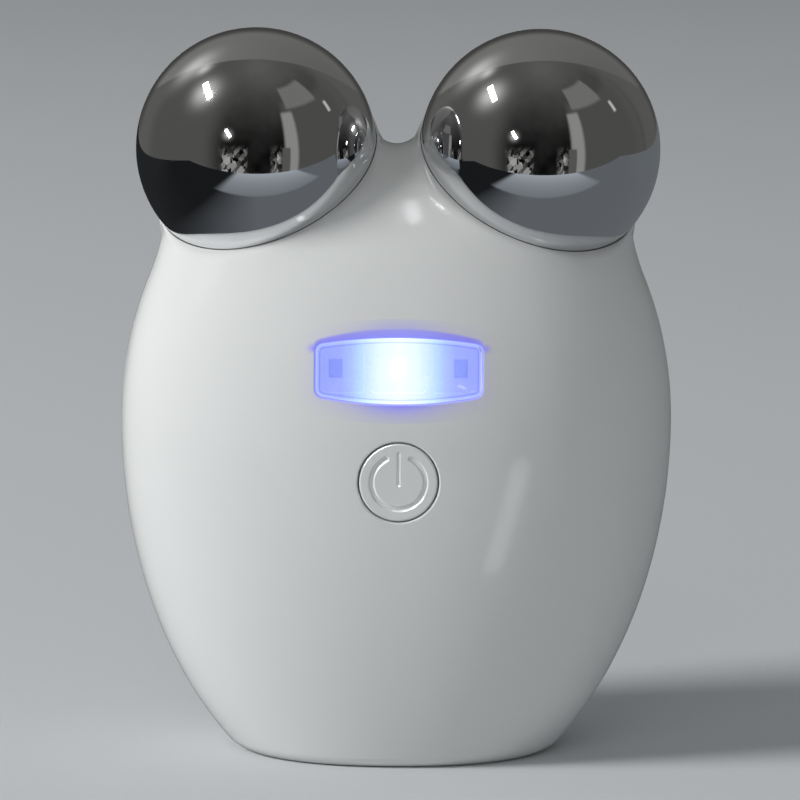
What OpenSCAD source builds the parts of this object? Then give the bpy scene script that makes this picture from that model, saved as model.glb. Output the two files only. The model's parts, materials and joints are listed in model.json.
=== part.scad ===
// Facial toning device: two chrome ball electrodes in a white clamshell body.
// Millimetres, +Z up, the front faces -Y, origin at the centre of the flat base.

/* [Body] */
// overall width of the body at its widest
body_width = 64.8; // [62:0.2:70]
// how far the front bulges forward of the origin
front_depth = 19.6; // [18.6:0.1:21]
// how far the back bulges behind the origin
back_depth = 19.6; // [19:0.1:22]
// height at which the body is widest
widest_height = 38.9; // [37:0.1:41]
// fullness of the cross-section, 2 is an ellipse
cross_power = 2.25; // [2.1:0.05:2.6]
// thickness of the moulded wall
wall = 1.8; // [1.5:0.1:2.2]
// softness of the edge round the base
base_round = 1.4; // [0.6:0.1:2.4]

/* [Electrodes] */
// diameter of each ball
ball_dia = 28; // [26:0.1:28.6]
// distance between the two ball centres
ball_spacing = 33; // [32.4:0.1:35]
// height of the ball centres
ball_height = 71.1; // [70:0.1:73]
// how far the ball centres stand forward of the origin
ball_forward = 2.2; // [1.4:0.1:3]
// forward lean of the ball sockets in degrees
lean_forward = 30; // [26:0.5:34]
// outward lean of the ball sockets in degrees
lean_outward = 23.5; // [20:0.5:27]
// depth of the socket rim below the ball centre
rim_drop = 3.4; // [2.6:0.1:4.4]
// wall of the hollow ball
ball_wall = 0.9; // [0.6:0.1:1.4]
// running gap between ball and socket
ball_gap = 0.12; // [0.08:0.01:0.3]
// thickness of the thin lip round each ball
lip = 0.48; // [0.4:0.02:0.9]

/* [Button] */
// diameter of the button cap
button_dia = 9; // [7:0.1:10]
// gap all round the button cap
button_gap = 0.25; // [0.2:0.01:0.4]
// height of the button centre
button_height = 34.7; // [33:0.1:36.5]
// how far the button travels when it is pressed
button_travel = 0.3; // [0.15:0.05:0.35]
// depth of the engraved power symbol
symbol_depth = 0.15; // [0.05:0.01:0.3]

/* [Status window] */
// length of the window
window_width = 19; // [17:0.1:20]
// height of the window at its middle
window_height = 7.4; // [6.6:0.1:7.8]
// height of the window at its ends
window_end = 5.7; // [4.6:0.1:6.2]
// height of the window centre
window_level = 47.4; // [46.8:0.1:48]
// gap between window and housing
window_gap = 0.15; // [0.1:0.01:0.25]
// spacing of the three lights
light_pitch = 7; // [6:0.1:7.4]

/* [Inside] */
// width of the main board
board_width = 24.6; // [23:0.2:24.8]
// thickness of the main board
board_thick = 1; // [0.8:0.1:1.2]
// width of the battery cell
cell_width = 27.4; // [24:0.2:27.4]
// height of the battery cell
cell_height = 32; // [28:0.5:32]
// thickness of the battery cell
cell_thick = 8; // [6:0.1:8]
// shank diameter of the four case screws
case_screw_dia = 2.5; // [2.2:0.1:2.8]

/* [Charge port] */
// width of the port opening in the base
port_width = 8.4; // [8.2:0.1:9]
// depth of the port opening in the base
port_depth = 3.4; // [3.2:0.1:3.8]

/* [Hidden] */
split_y = -ball_forward;
upper_reach = 38.6;
lower_reach = 47.8;
deepest_height = 36;
front_reach_up = 36.6;
back_reach_up = 42;
depth_reach_down = 52;
saddle_height = ball_height - 0.5;
back_lip = 1.1;
fillet_size = 5.5;
fillet_rim = 2.8;
fillet_taper = 7;
ball_r = ball_dia / 2;
socket_r = ball_r + ball_gap;
cup_r = socket_r + lip;
ball_x = ball_spacing / 2;
hub = [0, split_y, ball_height - 11];
clear = 0.05;
frame_half = 0.8;
post_r = 3;
post_high = [18.8, 52];
post_low = [16, 13];
screw_r = case_screw_dia / 2;
head_r = 2.2;
bore_r = 2.7;
seat_y = split_y + 3.4;
skirt = 9;
plug_base = 11.2;
pad_level = 13;
pad_thick = 2;
lug_thick = 0.4;
board_face = -12.4;
board_back = board_face + board_thick;
board_low = 9.5;
board_top = 57;
hole_r = button_dia / 2 + button_gap;
cap_r = button_dia / 2;
cap_face = skin_y(0, button_height, -1) + 0.02;
collar_y = cap_face + 2.6;
flange_y = collar_y + clear;
flange_thick = 0.8;
switch_top = board_face - 2.2 - button_travel;
plunger_y = switch_top - button_travel - 0.2;
window_face = skin_y(0, window_level, -1);
flange_out = 0.9;
flange_reach = [window_width / 2 + flange_out, window_level + window_height / 2 + 0.7];
window_flange = skin_y(flange_reach.x, flange_reach.y, -1) + wall + 0.12;
window_back = window_flange + 0.5;
light_level = window_level - 0.6;
light_tall = 0.8;
cell_mid = 33.8;
cell_front = split_y - 5.2;
bay_wall = 1.3;
bay_gap = 0.2;
charge_face = split_y + frame_half + 2.65;
charge_board_thick = 1;
port_y = charge_face + charge_board_thick + 1.3;
pin = 0.02;
board_screw_x = board_width / 2 - 2.7;
board_screw_low = board_low + 3;
board_screw_top = board_top - 3;
pad_back = cell_front + cell_thick + 1.5;
rib_end = skin_y(9, cell_mid - 10, 1) - 0.6;
plate_front = split_y - frame_half;
plate_back = split_y + frame_half;
cell_low = cell_mid - cell_height / 2;
cell_high = cell_mid + cell_height / 2;
part_tall = 1.1;
lead_x = [-4.8, -2.2];
low_rays = [0, 0.15, 0.45, 0.95, 1.7, 3, 5.5, 9, 13, 18, 23, 28, 33, 38, 43, 47.5, 51.5, 55, 58];
fan_step = 4;

function soft_min(a, b, k) = let (h = max(k - abs(a - b), 0) / k) min(a, b) - h * h * k / 4;
function soft_max(a, b, k) = -soft_min(-a, -b, k);
function reach_part(t, r) = sqrt(max(1 - (t / r) * (t / r), 0.01));

// signed size of the egg: cross-section sizes follow the height
function egg(x, y, z) =
    let (
        zc = min(max(z, -5), 73.5),
        t = zc - widest_height,
        s = zc - deepest_height,
        a = body_width / 2 * reach_part(t, t > 0 ? upper_reach : lower_reach),
        up = y < 0 ? front_reach_up : back_reach_up,
        d = (y < 0 ? front_depth : back_depth) * reach_part(s, s > 0 ? up : depth_reach_down),
        wx = pow(abs(x) / a, cross_power),
        wy = pow(abs(y) / d, cross_power),
        part = wx / (wx + wy + 1e-9)
    )
    (pow(wx + wy, 1 / cross_power) - 1) / sqrt(part / (a * a) + (1 - part) / (d * d));

function saddle(y, z) = z - saddle_height + 0.016 * (y + 3) * (y + 3);

// signed size of one socket's outer sphere, thicker towards the back
function cup(side, x, y, z) =
    let (
        d = norm([x - side * ball_x, y + ball_forward, z - ball_height]),
        b = max(0, (y + ball_forward) / max(d, 0.1))
    )
    d - cup_r - back_lip * b * b;

// depth below the rim plane of one socket
function below_rim(side, x, y, z) =
    -rim_drop - (side * (x - side * ball_x) * sin(lean_outward) * cos(lean_forward)
        - (y + ball_forward) * sin(lean_forward)
        + (z - ball_height) * cos(lean_outward) * cos(lean_forward));

// the egg flows into the sockets with a fillet that tapers away at the rims
function fillet(side, x, y, z) =
    let (t = min(max(below_rim(side, x, y, z) / fillet_taper, 0), 1))
    fillet_rim + (fillet_size - fillet_rim) * t * (2 - t);

// the outer skin of the body lies where this is zero, inside is negative
function skin(x, y, z) =
    let (
        e = soft_max(egg(x, y, z), saddle(y, z), 3),
        left = soft_min(e, cup(-1, x, y, z), fillet(-1, x, y, z)),
        both = soft_min(left, cup(1, x, y, z), fillet(1, x, y, z))
    )
    soft_max(both, -z, base_round);

function skin_y(x, z, side, near = 0, far = 30, n = 14) =
    let (m = (near + far) / 2)
    n == 0 ? side * m :
    skin(x, side * m, z) < 0 ? skin_y(x, z, side, m, far, n - 1) :
    skin_y(x, z, side, near, m, n - 1);

// how far a ray from a point inside runs before it meets a layer of the skin
function reach(from, d, level, near = 2, far = 58, n = 15) =
    let (m = (near + far) / 2, p = from + d * m)
    n == 0 ? m :
    skin(p.x, p.y, p.z) < level ? reach(from, d, level, m, far, n - 1) :
    reach(from, d, level, near, m, n - 1);

// rays level with the ground up to the hub, then a fan of rays rising from the hub to the saddle
function ray_count() = len(low_rays) + floor(89 / fan_step) + 1;
function ray_up(i) = i < len(low_rays) ? 0 : (i - len(low_rays)) * fan_step;
function ray_height(i, floor_z) =
    i < len(low_rays) ? floor_z + low_rays[i] * (hub.z - floor_z) / hub.z : hub.z;

// point of the skin, or of a layer under it, on ray i in the direction turn
function skin_point(side, i, turn, level) =
    let (
        up = ray_up(i),
        z = ray_height(i, -level),
        d = [cos(turn) * cos(up), side * sin(turn) * cos(up), sin(up)],
        start = [0, split_y, max(z, 0.02 - level)]
    )
    i == 0 ? [start.x, start.y, z] + d * reach(start, d, level) : start + d * reach(start, d, level);

// half of the hollow body, from the seam plane outwards on one side
module half_skin(side) {
    rows = ray_count();
    turns = 52;
    inner_turns = 26;
    outer = [for (i = [0 : rows - 1], j = [0 : turns]) skin_point(side, i, 180 * j / turns, 0)];
    inner = [for (i = [0 : rows - 1], j = [0 : inner_turns])
        skin_point(side, i, 180 * j / inner_turns, -wall)];
    start = len(outer);
    ends = start + len(inner);
    up = [0, 0, 1];
    caps = [
        [0, split_y, 0],
        hub + up * reach(hub, up, 0),
        [0, split_y, wall],
        hub + up * reach(hub, up, -wall)
    ];
    function at(i, j) = i * (turns + 1) + j;
    function in_at(i, j) = start + i * (inner_turns + 1) + j;
    faces = concat(
        [for (i = [0 : rows - 2], j = [0 : turns - 1]) each [
            [at(i, j), at(i, j + 1), at(i + 1, j + 1)],
            [at(i, j), at(i + 1, j + 1), at(i + 1, j)]
        ]],
        [for (i = [0 : rows - 2], j = [0 : inner_turns - 1]) each [
            [in_at(i, j), in_at(i + 1, j + 1), in_at(i, j + 1)],
            [in_at(i, j), in_at(i + 1, j), in_at(i + 1, j + 1)]
        ]],
        [for (j = [0 : turns - 1]) each [
            [ends, at(0, j + 1), at(0, j)],
            [ends + 1, at(rows - 1, j), at(rows - 1, j + 1)]
        ]],
        [for (j = [0 : inner_turns - 1]) each [
            [ends + 2, in_at(0, j), in_at(0, j + 1)],
            [ends + 3, in_at(rows - 1, j + 1), in_at(rows - 1, j)]
        ]],
        [for (i = [0 : rows - 2]) each [
            [at(i, 0), at(i + 1, 0), in_at(i + 1, 0)],
            [at(i, 0), in_at(i + 1, 0), in_at(i, 0)],
            [at(i, turns), in_at(i + 1, inner_turns), at(i + 1, turns)],
            [at(i, turns), in_at(i, inner_turns), in_at(i + 1, inner_turns)]
        ]],
        [
            [ends, at(0, 0), in_at(0, 0)],
            [ends, in_at(0, 0), ends + 2],
            [ends, in_at(0, inner_turns), at(0, turns)],
            [ends, ends + 2, in_at(0, inner_turns)],
            [ends + 1, in_at(rows - 1, 0), at(rows - 1, 0)],
            [ends + 1, ends + 3, in_at(rows - 1, 0)],
            [ends + 1, at(rows - 1, turns), in_at(rows - 1, inner_turns)],
            [ends + 1, in_at(rows - 1, inner_turns), ends + 3]
        ]
    );
    polyhedron(concat(outer, inner, caps), side > 0 ? [for (f = faces) [f[2], f[1], f[0]]] : faces,
        convexity = 6);
}

// places its children with +Z along the outward axis of one ball socket
module at_ball(side) {
    translate([side * ball_x, -ball_forward, ball_height])
        rotate([0, side * lean_outward, 0]) rotate([lean_forward, 0, 0]) children();
}

// lays its children so that their +Z points along +Y
module along_y(x, z) {
    translate([x, 0, z]) rotate([-90, 0, 0]) children();
}

// a round bar parallel to Y
module bar_y(x, z, y1, y2, r, fn = 40) {
    along_y(x, z) translate([0, 0, y1]) cylinder(r = r, h = y2 - y1, $fn = fn);
}

module box(x1, x2, y1, y2, z1, z2) {
    translate([x1, y1, z1]) cube([x2 - x1, y2 - y1, z2 - z1]);
}

// everything above the rim plane of one socket, on that side of the middle
module above_rim(side) {
    intersection() {
        at_ball(side) translate([-50, -50, -rim_drop]) cube([100, 100, 60]);
        translate([side > 0 ? 0 : -80, -80, 30]) cube([80, 160, 100]);
    }
}

module case_posts() {
    for (side = [-1, 1], p = [post_high, post_low]) {
        $post_x = p.x;
        $post_z = p.y;
        translate([side * p.x, 0, p.y]) children();
    }
}

// outline of the status window, grown by a margin
module window_outline(grow) {
    w = window_width / 2 + grow;
    mid = window_height / 2 + grow;
    end = window_end / 2 + grow;
    arc = (w * w + (mid - end) * (mid - end)) / (2 * (mid - end));
    corner = 0.9 + grow;
    hull() for (x = [-1, 1], y = [-1, 1])
        translate([x * (w - corner), y * (end - corner)]) circle(r = corner, $fn = 24);
    intersection() {
        translate([0, mid - arc]) circle(r = arc, $fn = 200);
        translate([0, arc - mid]) circle(r = arc, $fn = 200);
        square([2 * (w - corner), 4 * mid], center = true);
    }
}

module window_prism(grow, y1, y2) {
    translate([0, y2, window_level]) rotate([90, 0, 0]) linear_extrude(y2 - y1) window_outline(grow);
}

module ball_cuts() {
    for (side = [-1, 1]) {
        above_rim(side);
        at_ball(side) sphere(r = socket_r, $fn = 96);
    }
}

module front_shell() {
    color("#f4f4f2") difference() {
        union() {
            half_skin(-1);
            // posts for the case screws
            case_posts() post_to_skin(-1, post_r, plate_front);
            // posts for the board screws
            for (x = [-1, 1], z = [board_screw_low, board_screw_top])
                bar_y(x * board_screw_x, z, skin_y(board_screw_x + 1.9, z, -1) + 0.5, board_face, 1.9);
            // flat collar behind the button hole
            bar_y(0, button_height, cap_face + 1, collar_y, hole_r + 1.6, 60);
        }
        ball_cuts();
        bar_y(0, button_height, -30, -10, hole_r, 72);
        window_prism(window_gap, -30, -14);
        case_posts() rotate([-90, 0, 0]) translate([0, 0, split_y - 8.5])
            cylinder(r = screw_r + pin, h = 10, $fn = 32);
        for (x = [-1, 1], z = [board_screw_low, board_screw_top])
            bar_y(x * board_screw_x, z, board_face - 2.4, board_face + 1, 0.82, 24);
    }
}

module rear_shell() {
    color("#f1f1ef") difference() {
        union() {
            half_skin(1);
            case_posts() post_to_skin(1, bore_r + 1.1, plate_back);
            // ribs that press on the battery pad
            for (x = [-8, 8]) box(x - 0.8, x + 0.8, pad_back, rib_end, cell_mid - 10, cell_mid + 10);
        }
        ball_cuts();
        case_posts() rotate([-90, 0, 0]) {
            translate([0, 0, split_y]) cylinder(r = screw_r + 0.15, h = 10, $fn = 32);
            translate([0, 0, seat_y]) cylinder(r = bore_r, h = 30, $fn = 40);
        }
        port_slot(-1, 4);
    }
}

// a round post from the seam towards the skin, ending inside the wall
module post_to_skin(side, r, start) {
    end = skin_y($post_x + r, $post_z, side) - side * 0.5;
    rotate([-90, 0, 0]) translate([0, 0, min(start, end)]) cylinder(r = r, h = abs(end - start), $fn = 40);
}

// rounded slot through the base for the charge plug
module port_slot(z1, z2) {
    w = port_width / 2 - 1;
    d = port_depth / 2 - 1;
    translate([0, port_y, z1]) hull() for (x = [-1, 1], y = [-1, 1])
        translate([x * w, y * d, 0]) cylinder(r = 1, h = z2 - z1, $fn = 24);
}

// hollow ball, open underneath
module electrode(side) {
    color("#d9dde2") at_ball(side) difference() {
        sphere(r = ball_r, $fn = 96);
        sphere(r = ball_r - ball_wall, $fn = 96);
        translate([0, 0, -skirt - 20]) cylinder(r = 30, h = 20, $fn = 32);
    }
}

// moulded plug that closes the ball and carries its screw
module electrode_plug(side) {
    spigot = sqrt(pow(ball_r - ball_wall, 2) - skirt * skirt) - pin;
    foot = sqrt(ball_r * ball_r - plug_base * plug_base) - 0.3;
    color("#3b3d42") at_ball(side) difference() {
        union() {
            translate([0, 0, -skirt - 0.5]) cylinder(r = spigot, h = 2.9, $fn = 64);
            translate([0, 0, -plug_base]) cylinder(r = foot, h = 2, $fn = 64);
            translate([0, 0, -pad_level]) cylinder(r = 4.2, h = 3, $fn = 48);
        }
        translate([0, 0, -pad_level - 1]) cylinder(r = 1 + pin, h = 10, $fn = 24);
        // room for the contact leaf
        translate([side > 0 ? -14 : -1.6, -1.6, -skirt + 1.8]) cube([15.6, 3.2, 3]);
    }
}

// brass leaf that joins the screw to the inside of the ball
module contact_leaf(side) {
    far = sqrt(pow(ball_r - ball_wall, 2) - pow(skirt - 1.82, 2) - 1.96) - 0.03;
    color("#c9a24b") at_ball(side) difference() {
        translate([side > 0 ? -far : -1.4, -1.4, -skirt + 1.82]) cube([far + 1.4, 2.8, 0.3]);
        translate([0, 0, -skirt]) cylinder(r = 1.02, h = 6, $fn = 24);
    }
}

// ring terminal clamped under the screw head
module terminal(side) {
    color("#cfc9ae") at_ball(side) difference() {
        union() {
            translate([0, 0, -pad_level - pad_thick - lug_thick]) cylinder(r = 2.1, h = lug_thick, $fn = 32);
            translate([side > 0 ? -5.5 : 0, -0.9, -pad_level - pad_thick - lug_thick])
                cube([5.5, 1.8, lug_thick]);
        }
        translate([0, 0, -20]) cylinder(r = 1.05, h = 10, $fn = 24);
    }
}

module electrode_screws() {
    color("#a9adb2") for (side = [-1, 1]) at_ball(side) {
        top = -pad_level - pad_thick - lug_thick;
        translate([0, 0, top]) cylinder(r = 1, h = -skirt + 2.6 - top, $fn = 24);
        difference() {
            translate([0, 0, top - 1.4]) cylinder(r = 1.9, h = 1.4, $fn = 32);
            for (a = [0, 90]) rotate([0, 0, a]) translate([-1.2, -0.2, top - 2]) cube([2.4, 0.4, 1.4]);
        }
    }
}

// inner frame: battery bay, screw ears and the two tilted electrode seats
module chassis() {
    bay_x = cell_width / 2 + bay_gap;
    bay_low = cell_low - bay_gap;
    bay_high = cell_high + bay_gap;
    color("#d8d8d4") difference() {
        union() {
            box(-16.2, 16.2, plate_front + 0.02, plate_back - 0.02, 9, 55.6);
            case_posts() bar_y(0, 0, plate_front + 0.02, plate_back - 0.02, 3.4);
            box(-bay_x - bay_wall, bay_x + bay_wall, cell_front - 0.6, plate_back - 0.02,
                bay_low - bay_wall, bay_high + bay_wall);
            // stand-offs for the charge board
            for (x = [-5, 5]) bar_y(x, 11, plate_back - 1, charge_face - 0.02, 2, 32);
            for (side = [-1, 1]) {
                at_ball(side) translate([0, 0, -pad_level - pad_thick])
                    cylinder(r = 6.4, h = pad_thick - 0.02, $fn = 48);
                hull() {
                    at_ball(side) translate([0, 0, -pad_level - pad_thick])
                        cylinder(r = 4.4, h = 1.6, $fn = 32);
                    box(side * 10.8 - 3, side * 10.8 + 3, plate_front + 0.1, plate_back - 0.1, 50, 55);
                }
            }
        }
        // the bay opens to the back and keeps a lip at the front
        box(-bay_x, bay_x, cell_front - 0.05, 5, bay_low, bay_high);
        box(-bay_x + 2, bay_x - 2, cell_front - 5, 5, bay_low + 2, bay_high - 2);
        // gap for the battery leads
        box(-6, -1, cell_front - 5, cell_front + 3.4, bay_low - 4, bay_low + 1);
        case_posts() bar_y(0, 0, -10, 10, screw_r + 0.12, 32);
        for (side = [-1, 1]) at_ball(side) {
            translate([0, 0, -22]) cylinder(r = 1.1, h = 12, $fn = 24);
            translate([0, 0, -26]) cylinder(r = 3, h = 26 - pad_level - pad_thick, $fn = 32);
            translate([side > 0 ? -12 : 0, -1.6, -pad_level - pad_thick - 3]) cube([12, 3.2, 3]);
        }
        for (x = [-5, 5]) bar_y(x, 11, -10, 10, 0.82, 24);
    }
}

// case screws, all four alike
module case_screws() {
    color("#9b9ea3") case_posts() rotate([-90, 0, 0]) {
        translate([0, 0, split_y - 7]) cylinder(r = screw_r, h = seat_y - split_y + 7, $fn = 32);
        difference() {
            translate([0, 0, seat_y]) cylinder(r = head_r, h = 1.7, $fn = 32);
            for (a = [0, 90]) rotate([0, 0, a]) translate([-1.4, -0.25, seat_y + 0.7]) cube([2.8, 0.5, 2]);
        }
    }
}

// soft plugs that hide the case screws, cut to follow the back
module screw_plugs() {
    color("#ececea") for (side = [-1, 1], p = [post_high, post_low]) {
        h = 0.4;
        face = skin_y(p.x, p.y, 1);
        lean_x = (skin_y(p.x + h, p.y, 1) - skin_y(p.x - h, p.y, 1)) / (2 * h);
        lean_z = (skin_y(p.x, p.y + h, 1) - skin_y(p.x, p.y - h, 1)) / (2 * h);
        difference() {
            bar_y(side * p.x, p.y, face - 5, face + 5, bore_r - 0.05);
            translate([side * p.x, face - 0.12, p.y])
                multmatrix([[1, 0, 0, 0], [side * lean_x, 1, lean_z, 0], [0, 0, 1, 0], [0, 0, 0, 1]])
                    translate([-8, 0, -8]) cube([16, 12, 16]);
        }
    }
}

// clear light pipe, curved on the front like the housing round it
module status_window() {
    curve = 76;
    slope = atan((skin_y(0, window_level + 1, -1) - skin_y(0, window_level - 1, -1)) / 2);
    color("#c9d8ff") {
        intersection() {
            window_prism(0, -26, window_back - 0.1);
            translate([0, window_face + 0.03, window_level]) rotate([-slope, 0, 0])
                translate([0, curve, 0]) sphere(r = curve, $fn = 360);
        }
        box(-window_width / 2 - flange_out, window_width / 2 + flange_out, window_flange, window_back,
            window_level - window_height / 2 - 0.7, window_level + window_height / 2 + 0.7);
    }
}

// black frame that keeps the three lights apart
module light_shroud() {
    w = flange_reach.x + 0.1;
    t = 0.7;
    inner = (light_pitch - t) / 2;
    color("#26272b") difference() {
        box(-w, w, window_back + clear, board_face - pin, window_level - 3.9, window_level + 3.5);
        for (x = [[-w + t / 2, -inner - t], [-inner, inner], [inner + t, w - t / 2]])
            box(x[0], x[1], -20, -5, window_level - 3.2, window_level + 2.8);
    }
}

module light(i) {
    x = i * light_pitch;
    color("#f5f2d8") {
        box(x - 0.75, x + 0.75, board_face - 0.5, board_face, light_level - 1.05, light_level + 1.05);
        box(x - 0.6, x + 0.6, board_face - light_tall, board_face - 0.5,
            light_level - 0.75, light_level + 0.75);
    }
}

// power button: engraved cap, retaining flange and post
module power_button() {
    color("#f3f3f1") difference() {
        along_y(0, button_height) {
            translate([0, 0, cap_face + 0.3]) cylinder(r = cap_r, h = flange_y - cap_face, $fn = 72);
            translate([0, 0, cap_face]) cylinder(r1 = cap_r - 0.3, r2 = cap_r, h = 0.3, $fn = 72);
            translate([0, 0, flange_y]) cylinder(r = hole_r + 1.1, h = flange_thick, $fn = 60);
            translate([0, 0, flange_y]) cylinder(r = 1.6, h = plunger_y - 0.03 - flange_y, $fn = 32);
        }
        along_y(0, button_height) translate([0, 0, cap_face - 1]) power_symbol(1 + symbol_depth);
    }
}

// open ring with a bar through the gap
module power_symbol(deep) {
    ring = cap_r * 0.684;
    rotate([0, 0, -90 + 27]) rotate_extrude(angle = 306, $fn = 96)
        translate([ring - 0.27, 0]) square([0.54, deep]);
    translate([-0.2, -ring * 1.13, 0]) cube([0.4, ring * 1.28, deep]);
}

module switch_body() {
    color("#2d2e31") difference() {
        box(-3, 3, switch_top, board_face - pin, button_height - 3, button_height + 3);
        bar_y(0, button_height, switch_top - 1, board_face - 1.2, 1.8, 32);
    }
}

module switch_plunger() {
    color("#5b2c2c") bar_y(0, button_height, plunger_y, board_face - 1.2 - 0.6, 1.7, 32);
}

module main_board() {
    w = board_width / 2;
    color("#1f5c3a") difference() {
        box(-w, w, board_face, board_back, board_low, board_top);
        for (x = [-1, 1], z = [board_screw_low, board_screw_top])
            bar_y(x * board_screw_x, z, -20, -5, 0.95, 24);
    }
}

module board_screws() {
    color("#a9adb2") for (x = [-1, 1], z = [board_screw_low, board_screw_top]) {
        bar_y(x * board_screw_x, z, board_face - 2.2, board_back, 0.8, 24);
        difference() {
            bar_y(x * board_screw_x, z, board_back, board_back + 1, 1.5, 28);
            for (d = [[1, 0.18], [0.18, 1]])
                box(x * board_screw_x - d.x, x * board_screw_x + d.x, board_back + 0.4, board_back + 2,
                    z - d.y, z + d.y);
        }
    }
}

module controller_chip() {
    color("#1b1c1e") box(-8, -2, board_face - part_tall, board_face, 20, 26);
}

module charger_chip() {
    color("#1b1c1e") box(3, 7, board_face - part_tall, board_face, 21, 25);
}

module boost_inductor() {
    color("#4a4b4f") box(2.5, 7.5, board_face - 1.9, board_face, 13.5, 18.5);
}

module capacitors() {
    color("#b79a6c") for (x = [-8, -5.5, -3])
        box(x - 0.8, x + 0.8, board_face - 0.9, board_face, 15, 16.3);
}

module buzzer() {
    color("#222326") difference() {
        bar_y(4.5, 24, board_back, board_back + 2, 4.4, 48);
        bar_y(4.5, 24, board_back + 1.5, board_back + 3, 0.6, 20);
    }
}

module battery_connector() {
    color("#efe9da") difference() {
        box(-6.6, -0.4, board_back, board_back + 2.2, 10.6, 13.6);
        for (x = lead_x) box(x - 0.6, x + 0.6, board_back + 0.7, board_back + 2.4, 12.2, 14);
    }
}

module battery_cell() {
    w = cell_width / 2;
    r = cell_thick / 2 - 0.6;
    color("#b9bec6") {
        hull() for (x = [-w + r, w - r])
            translate([x, cell_front + cell_thick / 2, cell_low])
                cylinder(r = r, h = cell_height - 1.6, $fn = 40);
        box(-w + r, w - r, cell_front, cell_front + cell_thick, cell_low, cell_high - 1.6);
        box(-w + 2, w - 2, cell_front + 2.4, cell_front + 5.6, cell_high - 1.7, cell_high);
    }
}

module battery_pad() {
    color("#3a3a3c") box(-11, 11, cell_front + cell_thick, pad_back, cell_mid - 11, cell_mid + 11);
}

// a round wire through a list of points
module wire(points, r) {
    for (i = [0 : len(points) - 2]) {
        v = points[i + 1] - points[i];
        translate(points[i]) rotate([0, acos(v.z / norm(v)), atan2(v.y, v.x)])
            cylinder(r = r, h = norm(v), $fn = 40);
    }
    for (i = [1 : len(points) - 2]) translate(points[i]) sphere(r = r + 0.03, $fn = 40);
}

module battery_lead(x, tone) {
    y = cell_front + 1.8;
    color(tone) wire([[x, y, cell_low - pin], [x, y, cell_low - 1.5], [x, y - 1.6, cell_low - 2.7],
        [x, board_back + 2.2, 14.2], [x, board_back + 1.2, 12.5]], 0.42);
}

module electrode_lead(side, tone) {
    drop = pad_level + pad_thick + 0.55;
    lug = [side * (ball_x - 5.55 * cos(lean_outward) - drop * sin(lean_outward) * cos(lean_forward)),
        -ball_forward + drop * sin(lean_forward),
        ball_height + 5.55 * sin(lean_outward) - drop * cos(lean_outward) * cos(lean_forward)];
    inward = [-side * cos(lean_outward), 0, sin(lean_outward)];
    color(tone) wire([
        lug, lug + inward * 1.6, [side * 3.7, 1.6, 61.2], [side * 3.5, -2, 60.4],
        [side * 3.7, -6.2, 58.6], [side * 4.4, -8.6, 56], [side * 4.6, board_back + 1.3, 53.6],
        [side * 4.6, board_back + pin, 53.6]], 0.45);
}

module charge_board() {
    color("#1f5c3a") difference() {
        box(-7, 7, charge_face, charge_face + charge_board_thick, 3.4, 12.6);
        for (x = [-5, 5]) bar_y(x, 11, -10, 10, 0.95, 24);
    }
}

module charge_board_screws() {
    color("#a9adb2") for (x = [-5, 5]) {
        bar_y(x, 11, plate_front + 0.1, charge_face + charge_board_thick, 0.8, 24);
        bar_y(x, 11, charge_face + charge_board_thick, charge_face + charge_board_thick + 0.9, 1.5, 28);
    }
}

// metal jacket of the charge socket, mouth down
module charge_port() {
    y = charge_face + charge_board_thick;
    color("#c3c7cc") difference() {
        box(-3.75, 3.75, y, y + 2.6, 0.7, 6.2);
        box(-3.45, 3.45, y + 0.3, y + 2.3, 0, 5.9);
    }
}

module port_tongue() {
    y = charge_face + charge_board_thick;
    color("#1e1f21") {
        box(-3.4, 3.4, y + 0.33, y + 2.27, 4.7, 5.87);
        box(-2.5, 2.5, y + 1.3, y + 1.9, 1.6, 4.8);
    }
}

module charge_leads() {
    y = charge_face - 0.4;
    for (x = [2, 4])
        color(x < 3 ? "#1d1d1f" : "#b3261e") wire([[x, charge_face - pin, 6.6], [x, y - 1.4, 6.6],
            [x, -8.2, 8.8], [x, board_back + 0.8, 11], [x, board_back + pin, 11]], 0.36);
}

front_shell();
rear_shell();
electrode(-1);  // left_electrode
electrode(1);  // right_electrode
electrode_plug(-1);  // left_electrode_plug
electrode_plug(1);  // right_electrode_plug
contact_leaf(-1);  // left_contact_leaf
contact_leaf(1);  // right_contact_leaf
terminal(-1);  // left_terminal
terminal(1);  // right_terminal
electrode_screws();
chassis();
case_screws();
screw_plugs();
status_window();
light_shroud();
light(-1);  // left_light
light(0);  // centre_light
light(1);  // right_light
power_button();
switch_body();
switch_plunger();
main_board();
board_screws();
controller_chip();
charger_chip();
boost_inductor();
capacitors();
buzzer();
battery_connector();
battery_cell();
battery_pad();
battery_lead(lead_x[0], "#b3261e");  // battery_lead_red
battery_lead(lead_x[1], "#1d1d1f");  // battery_lead_black
electrode_lead(-1, "#e8e8e6");  // left_electrode_lead
electrode_lead(1, "#2a2a2c");  // right_electrode_lead
charge_board();
charge_board_screws();
charge_port();
port_tongue();
charge_leads();
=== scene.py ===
import json
import math
import bmesh
import bpy
import numpy as np
from mathutils import Matrix, Vector, geometry, kdtree

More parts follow.
